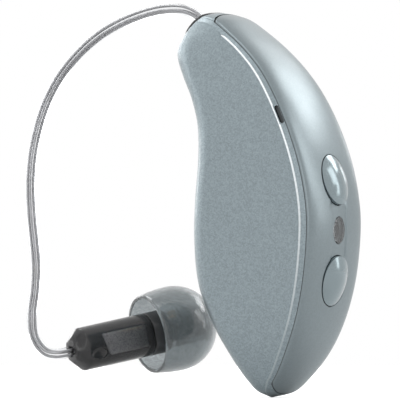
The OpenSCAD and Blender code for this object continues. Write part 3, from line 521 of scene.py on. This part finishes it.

# The crease beside the band carries a painted highlight: its lacquer is painted lighter, more so towards the top, where
# light from above catches it.
crease_highlight_lacquer = lacquer("painted_crease_highlight", case_paint, 0.33, 0.7, 0.06, 0.3)
highlight_tree = crease_highlight_lacquer.node_tree
edge_place = add_node(highlight_tree, "SeparateXYZ", {0: add_node(highlight_tree, "TexCoord", {}).outputs["Object"]})
highlight_fade = add_node(highlight_tree, "MapRange", {"Value": edge_place.outputs["Z"], "From Min": -0.016, "From Max": 0.006})
highlight_paint = add_node(highlight_tree, "ValToRGB", {"Fac": highlight_fade})
# Painted highlight colours: darker at the bottom, near white at the top.
highlight_paint.color_ramp.elements[0].color = (0.34, 0.39, 0.41, 1)
highlight_paint.color_ramp.elements[1].color = (0.93, 0.97, 0.99, 1)
feed(next(node for node in highlight_tree.nodes if node.type == "GROUP"), {"Paint": highlight_paint})

# Bare plastic and metal take a fine grain and a faint change of shade from a second group.
grains, grain_in, grain_place = new_group(
    "moulded_grain", {"Plastic": (0.05, 0.05, 0.05, 1), "Grain Scale": 9000, "Shade": 0.15}, ("Color", "Height"))
grain_noise = add_node(grains, "TexNoise", {"Vector": grain_place, "Scale": grain_in["Grain Scale"], "Detail": 2})
cloud = add_node(grains, "TexNoise", {"Vector": grain_place, "Scale": 700})
cloud_spread = add_node(grains, "Math", {0: cloud, 1: 0.5}, "SUBTRACT")
cloud_part = add_node(grains, "Math", {0: cloud_spread, 1: grain_in["Shade"], 2: 1.0}, "MULTIPLY_ADD")
grain_tint = add_node(grains, "VectorMath", {0: grain_in["Plastic"], "Scale": cloud_part}, "SCALE")
feed(grains.nodes.new("NodeGroupOutput"), {"Color": grain_tint, "Height": grain_noise})


def grained(name, colour, roughness, grain=0.3, shade=0.3, scale=9000, **sockets):
    """Moulded or coated finish with a fine grain and a faint change of shade"""
    material, tree, shader = new_finish(name, Roughness=roughness, **sockets)
    group = add_node(tree, "Group", {"Plastic": (*colour, 1), "Grain Scale": scale, "Shade": shade}, group=grains)
    bump = add_node(tree, "Bump", {"Strength": grain, "Distance": 0.00001, "Height": group.outputs["Height"]})
    feed(shader, {"Base Color": group, "Normal": bump})
    return material


bare_moulding = grained("bare_moulding", (0.012, 0.013, 0.014), 0.6)
seam_shade = grained("seam_shade", (0.085, 0.095, 0.10), 0.6)
case_skin.piece("case_skin", [case_lacquer, bare_moulding, crease_highlight_lacquer, seam_shade], "instrument", ["case_shell"])

# Spine cover
# A separate arched moulding in the same lacquer, let into the back of the case with a fine seam round it. It has
# oval holes for the two buttons, one for the indicator window, and a shallow channel that joins them.
cover_start, cover_stop = cover_from + inlet_gap / 2, cover_to - inlet_gap
cover_shares = np.unique(np.concatenate([
    cover_start + cover_end * quarter(16), cover_stop - cover_end * quarter(16),
    np.linspace(cover_start + cover_end, cover_stop - cover_end, 200)]).round(9))
button_shares = {"upper": 0.475, "lower": 0.306}
button_reach, button_half, button_gap = 2.1, 1.65, 0.065
window_share, window_reach, window_half, window_gap = 0.383, 1.1, 0.75, 0.04
channel_half, channel_depth, usual_half = 1.0, 0.08, 3.75
angles = np.sin(np.radians(np.linspace(0, 87, 30)))
steps = (channel_half + np.array([-0.06, -0.04, -0.02, 0.0, 0.02, 0.04, 0.06])) / usual_half
fractions = np.sort(np.append(angles[np.min(np.abs(angles[:, None] - steps), axis=1) > 0.012], steps))
cover_half = seat_half(cover_shares, cover_start, cover_stop)


def cover_depth(share, fraction_side, side):
    """Depth of the cover's surface, with the channel"""
    step = np.clip((channel_half + 0.05 - np.abs(fraction_side)) / 0.10, 0, 1)
    inside = (share > button_shares["lower"]) & (share < button_shares["upper"])
    inside = inside[..., None] if np.ndim(side) > np.ndim(share) else inside
    return skin_depth(share, side) - channel_depth * step * step * (3 - 2 * step) * inside


sides = cover_half[:, None] * fractions
depths = cover_depth(cover_shares, fractions * usual_half, sides)
rim_side = np.stack([np.maximum(cover_half - v, 0) for v in (0.004, 0.0, 0.0)], axis=1)
rim_depth = skin_depth(cover_shares, rim_side) - np.array([0.012, 0.04, 0.5])
sides = np.concatenate([sides, rim_side], axis=1)
depths = np.concatenate([depths, rim_depth], axis=1)
cover_grid = np.concatenate([case_points(cover_shares, depths, -sides)[:, :0:-1],
                             case_points(cover_shares, depths, sides)], axis=1)
cover_fraction = np.append(fractions, [1, 1, 1])
cover_fraction = np.concatenate([-cover_fraction[:0:-1], cover_fraction])


class SpineSpot(Place):
    """Place on the spine with the ways down it, to its side and out of it, and the surface round it"""

    def __init__(self, share):
        near = share + np.array([-0.001, 0, 0.001])
        ends = case_points(near, case_at(near)[2][:, None], np.zeros((3, 1)))[:, 0]
        run = ends[2] - ends[0]
        self.out = unit(np.array([run[2], 0, -run[0]]))
        self.down = np.array([self.out[2], 0, -self.out[0]])
        super().__init__(ends[1], self.down, np.array([0, 1, 0]), self.out)
        self.shares = np.linspace(share - 0.09, share + 0.09, 120)
        spine = case_points(self.shares, case_at(self.shares)[2][:, None], np.zeros((120, 1)))[:, 0]
        self.drop = (spine - self.middle) @ self.down

    def surface(self, x, y):
        """Points of the cover's surface at distances down the spine and to its side"""
        share = np.interp(x, self.drop[::-1], self.shares[::-1])
        return case_points(share, cover_depth(share, y, y), y)


cover_skin = Skin()
cover_numbers = cover_skin.add(cover_grid)
cover_holes = [(share, button_reach + button_gap, button_half + button_gap) for share in button_shares.values()]
cover_holes.append((window_share, window_reach + window_gap, window_half + window_gap))
skips, holes = [], []
middle_column, hole_margin = (cover_grid.shape[1] - 1) // 2, 0.16
for share, reach, width in cover_holes:
    spot = SpineSpot(share)
    drop = (cover_grid[:, middle_column] - spot.middle) @ spot.down
    inside = np.nonzero((np.abs(drop) <= reach + hole_margin) & (np.abs(cover_shares - share) < 0.12))[0]
    cells = [j for j in range(cover_grid.shape[1] - 1)
             if max(abs(cover_fraction[j]), abs(cover_fraction[j + 1])) * usual_half <= width + hole_margin]
    skips.append((inside[0], inside[-1], cells))
    holes.append((spot, reach, width))
cover_skin.quads(cover_numbers, skip=skips, finish=lambda i, j: 2 if j in (0, cover_grid.shape[1] - 2) else 0)
for (spot, reach, width), (i0, i1, cells) in zip(holes, skips):
    edge_loop, rim = cover_skin.block(cover_numbers, i0, i1, cells)
    x, y = (rim - spot.middle) @ spot.down, rim[:, 1]
    turn = np.arctan2(y / width, x / reach)
    rings = [spot.surface((reach + more) * np.cos(turn), (width + more) * np.sin(turn)) - deep * spot.out
             for more, deep in ((0.07, 0), (0.03, 0), (0.01, 0.006), (0.0, 0.03), (0.0, 0.4), (0.0, 0.9))]
    inner = cover_skin.loops(edge_loop, rings[:5])
    cover_skin.loops(inner, rings[5:], finish=1)
# This copy of the case lacquer is painted darker than the case's: painted shade for the spine.
cover_lacquer = lacquer("satin_spine", (0.208, 0.248, 0.264), 0.31, 0.75, 0.045, 0.25)
cover_skin.piece("spine_skin", [cover_lacquer, bare_moulding, seam_shade], "instrument", ["spine_cover"])

# Buttons
# Two oval caps in a glossy version of the lacquer. Each is domed and leans a little, so that the ends that face
# each other stand above the channel and the far ends lie in their holes.
button_crown, lean = 0.48, 0.045
flange_drop, flange_thickness, flange_reach = 0.8, 0.15, 0.25
button_lacquer = lacquer("glossy_button", (0.235, 0.285, 0.303), 0.15, 0.85, 0.03, 0.3)
turn = full_turn(96)
for name, share in button_shares.items():
    spot = SpineSpot(share)
    slope = lean if name == "upper" else -lean
    rings = [spot.oval(button_reach + out_by, button_half + out_by, height, turn) for out_by, height in (
        (flange_reach, -flange_drop - flange_thickness), (flange_reach, -flange_drop), (0, -flange_drop), (0, -0.3))]
    for radius in np.concatenate([[1], 1 - 0.5 * np.linspace(0, 1, 14)[1:] ** 2.2, np.linspace(0.5, 0.02, 14)[1:]]):
        x, y = button_reach * radius * np.cos(turn), button_half * radius * np.sin(turn)
        rings.append(spot.at(x, y, slope * x + button_crown * (1 - radius ** 2)))
    skin = Skin()
    skin.solid(rings)
    skin.piece(name + "_button_cap", [button_lacquer], name + "_key", [name + "_button"], sharp=50)

# Indicator window
# A lens of smoked clear plastic, set just under the channel's edge, over a dark well that holds the lamp.
window_spot = SpineSpot(window_share)
window_inset, window_thickness = 0.06, 0.45
turn = full_turn(72)
window_skin = Skin()
window_skin.solid([window_spot.oval(window_reach * radius, window_half * radius, -window_inset - drop, turn)
                   for radius, drop in ((1, window_thickness), (1, 0.03), (0.985, 0.008), (0.96, 0.001), (0.8, 0),
                                        (0.5, 0), (0.2, 0))])


def clear(name, colour, rough_from, rough_to, scale, **sockets):
    """Clear plastic or rubber, a little rougher in some places than in others"""
    material, tree, shader = new_finish(name, Base_Color=(*colour, 1), **sockets)
    place = add_node(tree, "TexCoord", {}).outputs["Object"]
    uneven = add_node(tree, "TexNoise", {"Vector": place, "Scale": scale})
    feed(shader, {"Roughness": add_node(tree, "MapRange", {"Value": uneven, "To Min": rough_from, "To Max": rough_to})})
    return material


smoked_lens = clear("smoked_window", (0.50, 0.52, 0.53), 0.03, 0.09, 900, Roughness=0.05, IOR=1.49,
                    Transmission_Weight=0.9)
window_skin.piece("window_lens", [smoked_lens], "instrument", ["indicator_window"])
well = Skin()
rings = [window_spot.oval(reach, width, -drop, turn) for reach, width, drop in
         ((window_reach, window_half, 0.56), (0.7, 0.36, 0.58), (0.68, 0.34, 0.95))]
inner = well.loops(well.add(rings[0]), rings[1:2])
well.close(well.loops(inner, rings[2:], finish=1), finish=1)
well_wall = grained("light_well", (0.34, 0.36, 0.37), 0.5)
well_floor = grained("lamp_floor", (0.07, 0.07, 0.075), 0.5)
well.piece("light_well", [well_wall, well_floor], "instrument")

# Lead plug
# The plug is a smoked clear moulding with a low domed cap that closes the nose. The lead comes out of its middle.
plug_d, plug_length, seal_seat, cap_height, rest_gap, lead_d, lead_grip = 2.0, 3.6, 0.8, 0.3, 0.03, 0.88, 0.6
nose_across = np.array([nose_back[0], 0, nose_back[1]])
nose = Place(nose_place, nose_across, np.array([0, 1, 0]), nose_out)
plug = Skin()
ring_across, ring_side = out_ring @ nose_across, out_ring[:, 1]
kept = np.linalg.norm(np.diff(np.vstack([out_ring, out_ring[:1]]), axis=0), axis=1) > 1e-4
ring_across, ring_side = ring_across[kept], ring_side[kept]
turn = np.arctan2(ring_side, ring_across)
cap_rings = [nose.at(ring_across * share_out, ring_side * share_out, rest_gap + cap_height * share_up)
             for share_out, share_up in ((0.97, 0.0), (0.99, 0.04), (1.0, 0.12), (1.0, 0.8), (0.985, 0.9), (0.95, 0.95),
                                         (0.88, 0.975), (0.78, 0.985), (0.65, 0.995), (0.5, 1.0))]
bore, cap_top = lead_d / 2 + rest_gap, rest_gap + cap_height
for radius, up in ((bore + 0.08, cap_top), (bore + 0.02, cap_top - 0.01), (bore, cap_top - 0.04), (bore, -lead_grip)):
    cap_rings.append(nose.oval(radius, radius, up, turn))
first = plug.add(cap_rings[0])
plug.close(plug.loops(first, cap_rings[1:]))
stem_r = plug_d / 2
stem_rings = [nose.oval(radius, radius, up, turn) for radius, up in (
    (stem_r, rest_gap), (stem_r, -1.0), (seal_seat, -1.02), (seal_seat, -1.38), (stem_r, -1.4),
    (stem_r, 0.15 - plug_length), (stem_r - 0.07, 0.05 - plug_length), (stem_r - 0.2, -plug_length))]
plug.close(plug.loops(first, stem_rings))
smoked_plug = grained("smoked_plug", (0.022, 0.023, 0.025), 0.24, grain=0.08, Coat_Weight=0.15)
plug.piece("plug_cap", [smoked_plug], "lead_unit", ["lead_plug"])

# Lead tube and its wires
# A thin clear tube, formed to go over the ear, with three fine wires inside. It is built in and holds its shape.
lead_reach, lead_sway, lead_drop, lead_stub, lead_stations, wire_d, wire_offset = 16.4, 5.8, 16.9, 1.3, 340, 0.17, 0.17
lead_shares = np.array([
    [-0.18, 0, 0.685], [-0.275, 0, 0.692], [-0.38, -0.02, 0.68], [-0.525, -0.05, 0.64],
    [-0.67, -0.09, 0.575], [-0.795, -0.14, 0.485], [-0.895, -0.22, 0.373], [-0.957, -0.31, 0.254],
    [-0.988, -0.41, 0.13], [-1, -0.52, -0.018], [-0.988, -0.62, -0.166], [-0.957, -0.71, -0.32],
    [-0.915, -0.81, -0.45], [-0.884, -0.88, -0.568], [-0.878, -0.93, -0.686], [-0.884, -0.97, -0.793],
    [-0.872, -1, -0.888], [-0.848, -0.98, -0.947], [-0.811, -0.93, -0.988], [-0.774, -0.845, -1]])
lead_size = np.array([lead_reach, lead_sway, lead_drop])
receiver_at = np.array([-0.726, -0.64, -0.988]) * lead_size
receiver_turn, receiver_rise = math.radians(64), math.radians(11)


def heading(turn, rise):
    """Direction from its turn round the upright and its rise from the level"""
    return np.array([math.cos(rise) * math.cos(turn), math.cos(rise) * math.sin(turn), math.sin(rise)])


receiver_way = heading(receiver_turn, receiver_rise)
lead_route = np.vstack([nose_place - nose_out * (lead_grip - rest_gap), nose_place + nose_out * lead_stub,
                        lead_shares * lead_size, receiver_at - receiver_way * lead_stub / 2,
                        receiver_at + receiver_way * lead_grip])


def add_lead(skin, sides, radius, offset=0.0, turn=0.0):
    """Closed tube round the lead's middle, or round a line beside it"""
    share = np.linspace(0, 1, lead_stations)
    middle = along(lead_route, share)
    ahead = unit(along(lead_route, share + 0.002) - along(lead_route, share - 0.002))
    level_way = unit(np.cross([0, 1, 0], ahead))
    upright = np.cross(ahead, level_way)
    middle = middle + offset * (level_way * math.cos(turn) + upright * math.sin(turn))
    a = full_turn(sides)[None, :, None]
    numbers = skin.add(middle[:, None] + radius * (level_way[:, None] * np.cos(a) - upright[:, None] * np.sin(a)))
    skin.quads(numbers, closed=True)
    skin.close(numbers[0])
    skin.close(numbers[-1])


tube = Skin()
add_lead(tube, 28, lead_d / 2)
clear_tube = clear("clear_tube", (0.93, 0.94, 0.95), 0.0, 0.004, 800, Roughness=0.04, IOR=1.42,
                   Transmission_Weight=1.0)
tube.piece("lead_tube_clear", [clear_tube], "lead_unit", ["lead_tube"])
wires = Skin()
for turn in np.radians([0, 120, 240]):
    add_lead(wires, 10, wire_d / 2, wire_offset, turn)
wire_metal = grained("silver_wire", (0.36, 0.36, 0.37), 0.35, grain=0.0, shade=0.5, Metallic=0.9)
wires.piece("lead_wires", [wire_metal], "lead_unit", ["lead_conductors"])

# Receiver
# A smoked clear housing with two flats, a chamfered rear end and an oval recess, over a metal sound motor. A dark
# collar closes its front round the spout.
receiver_length, receiver_height, receiver_width, collar_length = 8.8, 3.6, 3.3, 1.6
rear_chamfer, rear_r, body_r = 0.9, 1.0, receiver_height / 2
receiver_down = heading(receiver_turn, receiver_rise - math.pi / 2)
receiver_side = np.array([-math.sin(receiver_turn), math.cos(receiver_turn), 0])
receiver = Place(receiver_at, receiver_down, receiver_side, receiver_way)


def body_ring(radius, flats=receiver_width / 2, soft_edge=0.08, facets=0.0):
    """Ring of a circle with two softened flats, drawn in towards an octagon by a share"""
    a = full_turn(72)
    on_facet = np.mod(a, math.pi / 4) - math.pi / 8
    radius = radius * (1 - facets + facets * math.cos(math.pi / 8) / np.cos(on_facet))
    x, y = radius * np.cos(a), radius * np.sin(a)
    over = np.abs(y) - flats + soft_edge
    pressed = np.where(over > 0, flats - soft_edge + soft_edge * (1 - np.exp(-over / soft_edge)), np.abs(y))
    return x, np.sign(y) * pressed


front = receiver_length - collar_length - rest_gap
housing = Skin()
stations = [(0.62, 0.0), (rear_r - 0.06, 0.0), (rear_r, 0.03)]
stations += [(rear_r + (body_r - rear_r) * t, 0.03 + (rear_chamfer - 0.03) * t) for t in np.linspace(0.06, 0.96, 8)]
stations += [(body_r, a) for a in [rear_chamfer + 0.03, *np.linspace(1.05, front - 0.03, 60)]]
stations += [(body_r - 0.02, front)]
facet_reach = 0.7
numbers = housing.add(np.stack([receiver.at(*body_ring(r, facets=min(1, (body_r - r) / facet_reach)), a)
                                for r, a in stations]))
recess_at, recess_low, recess_length, recess_width, recess_depth = 1.85, 0.5, 1.5, 0.9, 0.22
recess_margin = 0.18
recess_first, recess_last = np.nonzero(np.abs(np.array(stations)[:, 1] - recess_at)
                                       <= recess_length / 2 + recess_margin)[0][[0, -1]]
recess_cells = range(51, 63)
housing.quads(numbers, closed=True, skip=[(recess_first, recess_last, recess_cells)])
edge_loop, rim = housing.block(numbers, recess_first, recess_last, recess_cells)
x, y = (rim - receiver_at) @ receiver_way - recess_at, (rim - receiver_at) @ receiver_down - recess_low
turn = np.arctan2(y / (recess_width / 2), x / (recess_length / 2))
rings = []
for more, deep in ((0.04, 0.0), (0.01, 0.01), (0.0, 0.04), (-0.04, recess_depth - 0.03), (-0.09, recess_depth)):
    ahead = (recess_length / 2 + more) * np.cos(turn)
    down = (recess_width / 2 + more) * np.sin(turn) + recess_low
    face = np.minimum(receiver_width / 2, np.sqrt(body_r ** 2 - down ** 2))
    rings.append(receiver.at(down, np.maximum(min(deep, 0.04) - face, deep - receiver_width / 2), ahead + recess_at))
inner = housing.loops(edge_loop, rings[:2])
housing.close(housing.loops(housing.loops(inner, rings[2:4], finish=1), rings[4:]))
housing.close(housing.loops(numbers[0], [receiver.oval(bore, bore, ahead, full_turn(72)) for ahead in (0, lead_grip)]))
housing.close(numbers[-1])
smoked_shell = clear("smoked_housing", (0.17, 0.17, 0.177), 0.08, 0.18, 1500, Roughness=0.12, IOR=1.5,
                     Transmission_Weight=0.92, Specular_IOR_Level=0.12)
recess_wall = grained("recess_wall", (0.02, 0.02, 0.022), 0.4)
housing.piece("receiver_shell", [smoked_shell, recess_wall], "lead_unit", ["receiver_housing"],
              sharp=35)

# What lies inside the housing: dark potting all round, and the bright can of the sound motor in it.
potting = Skin()
potting.solid([receiver.at(*body_ring(radius, flats=1.37), a) for radius, a in (
    (0.5, 0.62), (0.9, 0.64), (1.3, 0.95), (1.6, 1.35), (1.62, front - 0.2), (1.5, front - 0.08))])
dark_potting = grained("dark_potting", (0.018, 0.018, 0.02), 0.45)
potting.piece("receiver_potting", [dark_potting], "lead_unit")
can = Skin()
corners = [(-1.0, -1.42), (0.85, -1.42), (0.85, 1.42), (-1.0, 1.42)]
motor_from, motor_to, can_round = 2.35, 6.5, 0.16
can_rings = []
for a, inset in ((motor_from, 0.12), (motor_from + 0.04, 0.03), (motor_from + 0.12, 0.0),
                 (motor_to - 0.1, 0.0), (motor_to - 0.03, 0.03), (motor_to, 0.1)):
    ring = np.array([(x - np.sign(x) * (inset + can_round) + can_round * math.cos(angle + t),
                      y - np.sign(y) * (inset + can_round) + can_round * math.sin(angle + t))
                     for (x, y), angle in zip(corners, (-math.pi, -math.pi / 2, 0, math.pi / 2))
                     for t in np.linspace(0, math.pi / 2, 5)])
    cut = 0.9 * np.maximum(ring[:, 0] - 0.25, 0) * (a < motor_to / 2)
    can_rings.append(receiver.at(ring[:, 0], ring[:, 1], a + cut))
can.solid(can_rings)
can_metal = lacquer("can_metal", (0.80, 0.80, 0.80), 0.38, 1.0, 0.22, 0.0)
can.piece("motor_can", [can_metal], "lead_unit", ["receiver_motor"])

collar = Skin()
collar_rear = receiver_length - collar_length
collar_rings = [receiver.at(*body_ring(radius), a) for radius, a in (
    (1.06, collar_rear), (1.76, collar_rear), (1.8, collar_rear + 0.04), (1.8, receiver_length - 0.25),
    (1.77, receiver_length - 0.1), (1.68, receiver_length - 0.02), (1.55, receiver_length), (1.06, receiver_length),
    (1.04, collar_rear))]
collar.loops(collar.add(collar_rings[0]), collar_rings[1:] + collar_rings[:1])
collar_rubber = grained("black_rubber", (0.043, 0.044, 0.046), 0.45, grain=0.5)
collar.piece("receiver_collar_ring", [collar_rubber], "lead_unit", ["receiver_collar"])


def turned(skin, profile, count=72):
    """Closed surface of revolution about the receiver's line"""
    numbers = skin.add(np.stack([receiver.oval(r, r, z, full_turn(count)) for r, z in profile]))
    skin.quads(np.vstack([numbers, numbers[:1]]), closed=True)


spout_length, spout_root, spout_r, spout_bore = 3.3, 0.8, 1.0, 0.6
spout = Skin()
root, tip = receiver_length - spout_root, receiver_length + spout_length
turned(spout, [(spout_bore, root), (spout_r, root), (spout_r, receiver_length + 1.58),
               (spout_r + 0.07, receiver_length + 1.62), (spout_r + 0.06, receiver_length + 1.75),
               (spout_r, receiver_length + 2.1), (spout_r, tip - 0.06), (spout_r - 0.03, tip), (spout_bore, tip)])
spout_plastic = grained("smoked_spout", (0.24, 0.245, 0.25), 0.3, grain=0.1)
spout.piece("sound_spout", [spout_plastic], "lead_unit", ["receiver_spout"])

# Wax guard
# A white moulded cup in the mouth of the spout, with a small flange that rests on it.
guard = Skin()
guard_r = spout_bore - 0.025
turned(guard, [(spout_bore - 0.2, tip - 1.1), (guard_r, tip - 1.1), (guard_r, tip + 0.03),
               (spout_bore + 0.1, tip + 0.03), (spout_bore + 0.1, tip + 0.13), (spout_bore + 0.07, tip + 0.18),
               (0.34, tip + 0.18), (0.3, tip + 0.12), (0.3, tip + 0.04), (spout_bore - 0.2, tip)])
guard_white = grained("white_guard", (0.78, 0.78, 0.75), 0.45)
guard.piece("wax_guard_cup", [guard_white], "guard_body", ["wax_guard"])

# Dome
# A soft bell of smoke-grey silicone with an inner sleeve that clips over the spout. Its rim draws in a little.
dome_d, dome_length, dome_skin, sleeve_d, tip_bore, tip_length = 7.1, 6.1, 0.3, 3.1, 1.5, 1.1
sleeve_start, rim_draw, guard_flange, guard_gap = 0.4, 0.08, 0.15, 0.05
dome_rear = tip + guard_flange + guard_gap + tip_length - dome_length
dome_r = dome_d / 2
dome_middle = dome_length - dome_r
inside_r = dome_r - dome_skin
sleeve_bore = spout_r + 0.08 + rest_gap
sleeve_rear = receiver_length + sleeve_start - dome_rear
top_angle = math.acos(tip_bore / 2 / dome_r)
join_angle = math.acos(sleeve_d / 2 / inside_r)
profile = [(dome_r * (1 - rim_draw * (1 - s) ** 2), dome_middle * s) for s in np.linspace(0.02, 0.94, 14)]
profile += [(dome_r * math.cos(top_angle * t), dome_middle + dome_r * math.sin(top_angle * t))
            for t in np.linspace(0, 0.985, 34)]
profile += [(tip_bore / 2 + 0.02, dome_length - 0.03), (tip_bore / 2, dome_length - 0.09),
            (tip_bore / 2, dome_length - tip_length), (sleeve_bore, dome_length - tip_length),
            (sleeve_bore, sleeve_rear), (sleeve_d / 2 - 0.03, sleeve_rear), (sleeve_d / 2, sleeve_rear + 0.03)]
sleeve_join = dome_middle + inside_r * math.sin(join_angle)
profile += [(sleeve_d / 2, z) for z in np.linspace(sleeve_rear + 0.1, sleeve_join - 0.2, 8)]
profile += [(sleeve_d / 2 + 0.03, sleeve_join - 0.06)]
profile += [(inside_r * math.cos(join_angle * t), dome_middle + inside_r * math.sin(join_angle * t))
            for t in np.linspace(0.97, 0, 26)]
profile += [(inside_r - dome_r * rim_draw * (1 - s) ** 2, dome_middle * s) for s in np.linspace(0.94, 0.03, 14)]
profile += [(dome_r * (1 - rim_draw) - 0.22, 0.0), (dome_r * (1 - rim_draw) - 0.05, 0.0)]
dome = Skin()
turned(dome, [(r, z + dome_rear) for r, z in profile], count=128)
dome_grey = (0.42, 0.455, 0.468)
dome_silicone = clear("smoke_silicone", dome_grey, 0.10, 0.18, 500, Roughness=0.14, IOR=1.41,
                      Transmission_Weight=0.85, Coat_Weight=0.3, Coat_Roughness=0.1)
specks = add_node(dome_silicone.node_tree, "Group", {"Paint": (*dome_grey, 1), "Flake Scale": 7000,
                                                     "Flake Contrast": 0.22, "Unevenness": 0.12}, group=flakes)
feed(dome_silicone.node_tree.nodes["Principled BSDF"], {"Base Color": specks})
dome.piece("soft_dome", [dome_silicone], "dome_body", ["dome"])

# Charging contacts
# Two gold-plated studs on the flat land of the ear side, a hair proud of it, each with a dark ring round it.
gold = grained("gold_plate", (0.83, 0.60, 0.26), 0.25, grain=0.15, shade=0.2, Metallic=1.0)
stud_profile = ((0.5, 0.85), (0.5, 0.3), (0.85, 0.3), (0.85, -0.01), (0.835, -0.035), (0.79, -0.05), (0.5, -0.05),
                (0.42, -0.045), (0.1, -0.04))
gap_profile = ((0.84, -0.004), (0.91, -0.004), (0.91, 0.02))
turn = full_turn(48)
for name, step in (("upper", contact_step), ("lower", -contact_step)):
    stud_rings, gap_rings = [[np.stack([land_x + deep + 0 * turn, radius * np.cos(turn),
                                        land_z + step + radius * np.sin(turn)], axis=1) for radius, deep in profile]
                             for profile in (stud_profile, gap_profile)]
    stud = Skin()
    stud.solid(stud_rings)
    stud.piece(name + "_contact_stud", [gold], "instrument", [name + "_contact"])
    gap = Skin()
    gap.loops(gap.add(gap_rings[0]), gap_rings[1:])
    gap.piece(name + "_contact_gap", [bare_moulding], "instrument")

# Pieces inside
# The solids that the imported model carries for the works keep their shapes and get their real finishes: boards,
# chips, cans, rubber, copper, ferrite and the cell.
inner_finishes = (
    (grained("dark_plastic", (0.05, 0.05, 0.055), 0.5),
     ["upper_plunger", "lower_plunger", "chassis_frame", "connector_socket"]),
    (grained("inner_rubber", (0.02, 0.02, 0.022), 0.7, grain=0.6),
     ["front_gasket", "rear_gasket", "battery_insulator", "plug_seal", "receiver_suspension"]),
    (grained("bright_metal", (0.62, 0.62, 0.61), 0.28, shade=0.15, scale=20000, Metallic=1.0),
     ["upper_switch", "lower_switch", "battery_cap", "battery_tabs", "battery_cell"]),
    (can_metal, ["front_microphone", "rear_microphone"]),
    (gold, ["plug_pins", "socket_springs", "antenna"]),
    (grained("green_board", (0.02, 0.11, 0.05), 0.35, shade=0.5, Coat_Weight=0.3), ["circuit_board", "switch_board"]),
    (grained("black_chip", (0.02, 0.02, 0.022), 0.5), ["processor_chip", "radio_chip", "charging_chip"]),
    (grained("led_white", (0.75, 0.75, 0.70), 0.3, Coat_Weight=0.3), ["indicator_led"]),
    (grained("ferrite", (0.08, 0.08, 0.085), 0.6, grain=0.6), ["telecoil_core"]),
    (grained("copper_wire", (0.70, 0.32, 0.16), 0.3, grain=0.8, scale=16000, Metallic=1.0), ["telecoil_winding"]),
    (grained("screen_mesh", (0.03, 0.03, 0.03), 0.5, grain=1.0, scale=30000), ["microphone_screens"]),
)
for finish, nodes in inner_finishes:
    for node in nodes:
        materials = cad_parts[node].data.materials
        materials.clear()
        materials.append(finish)
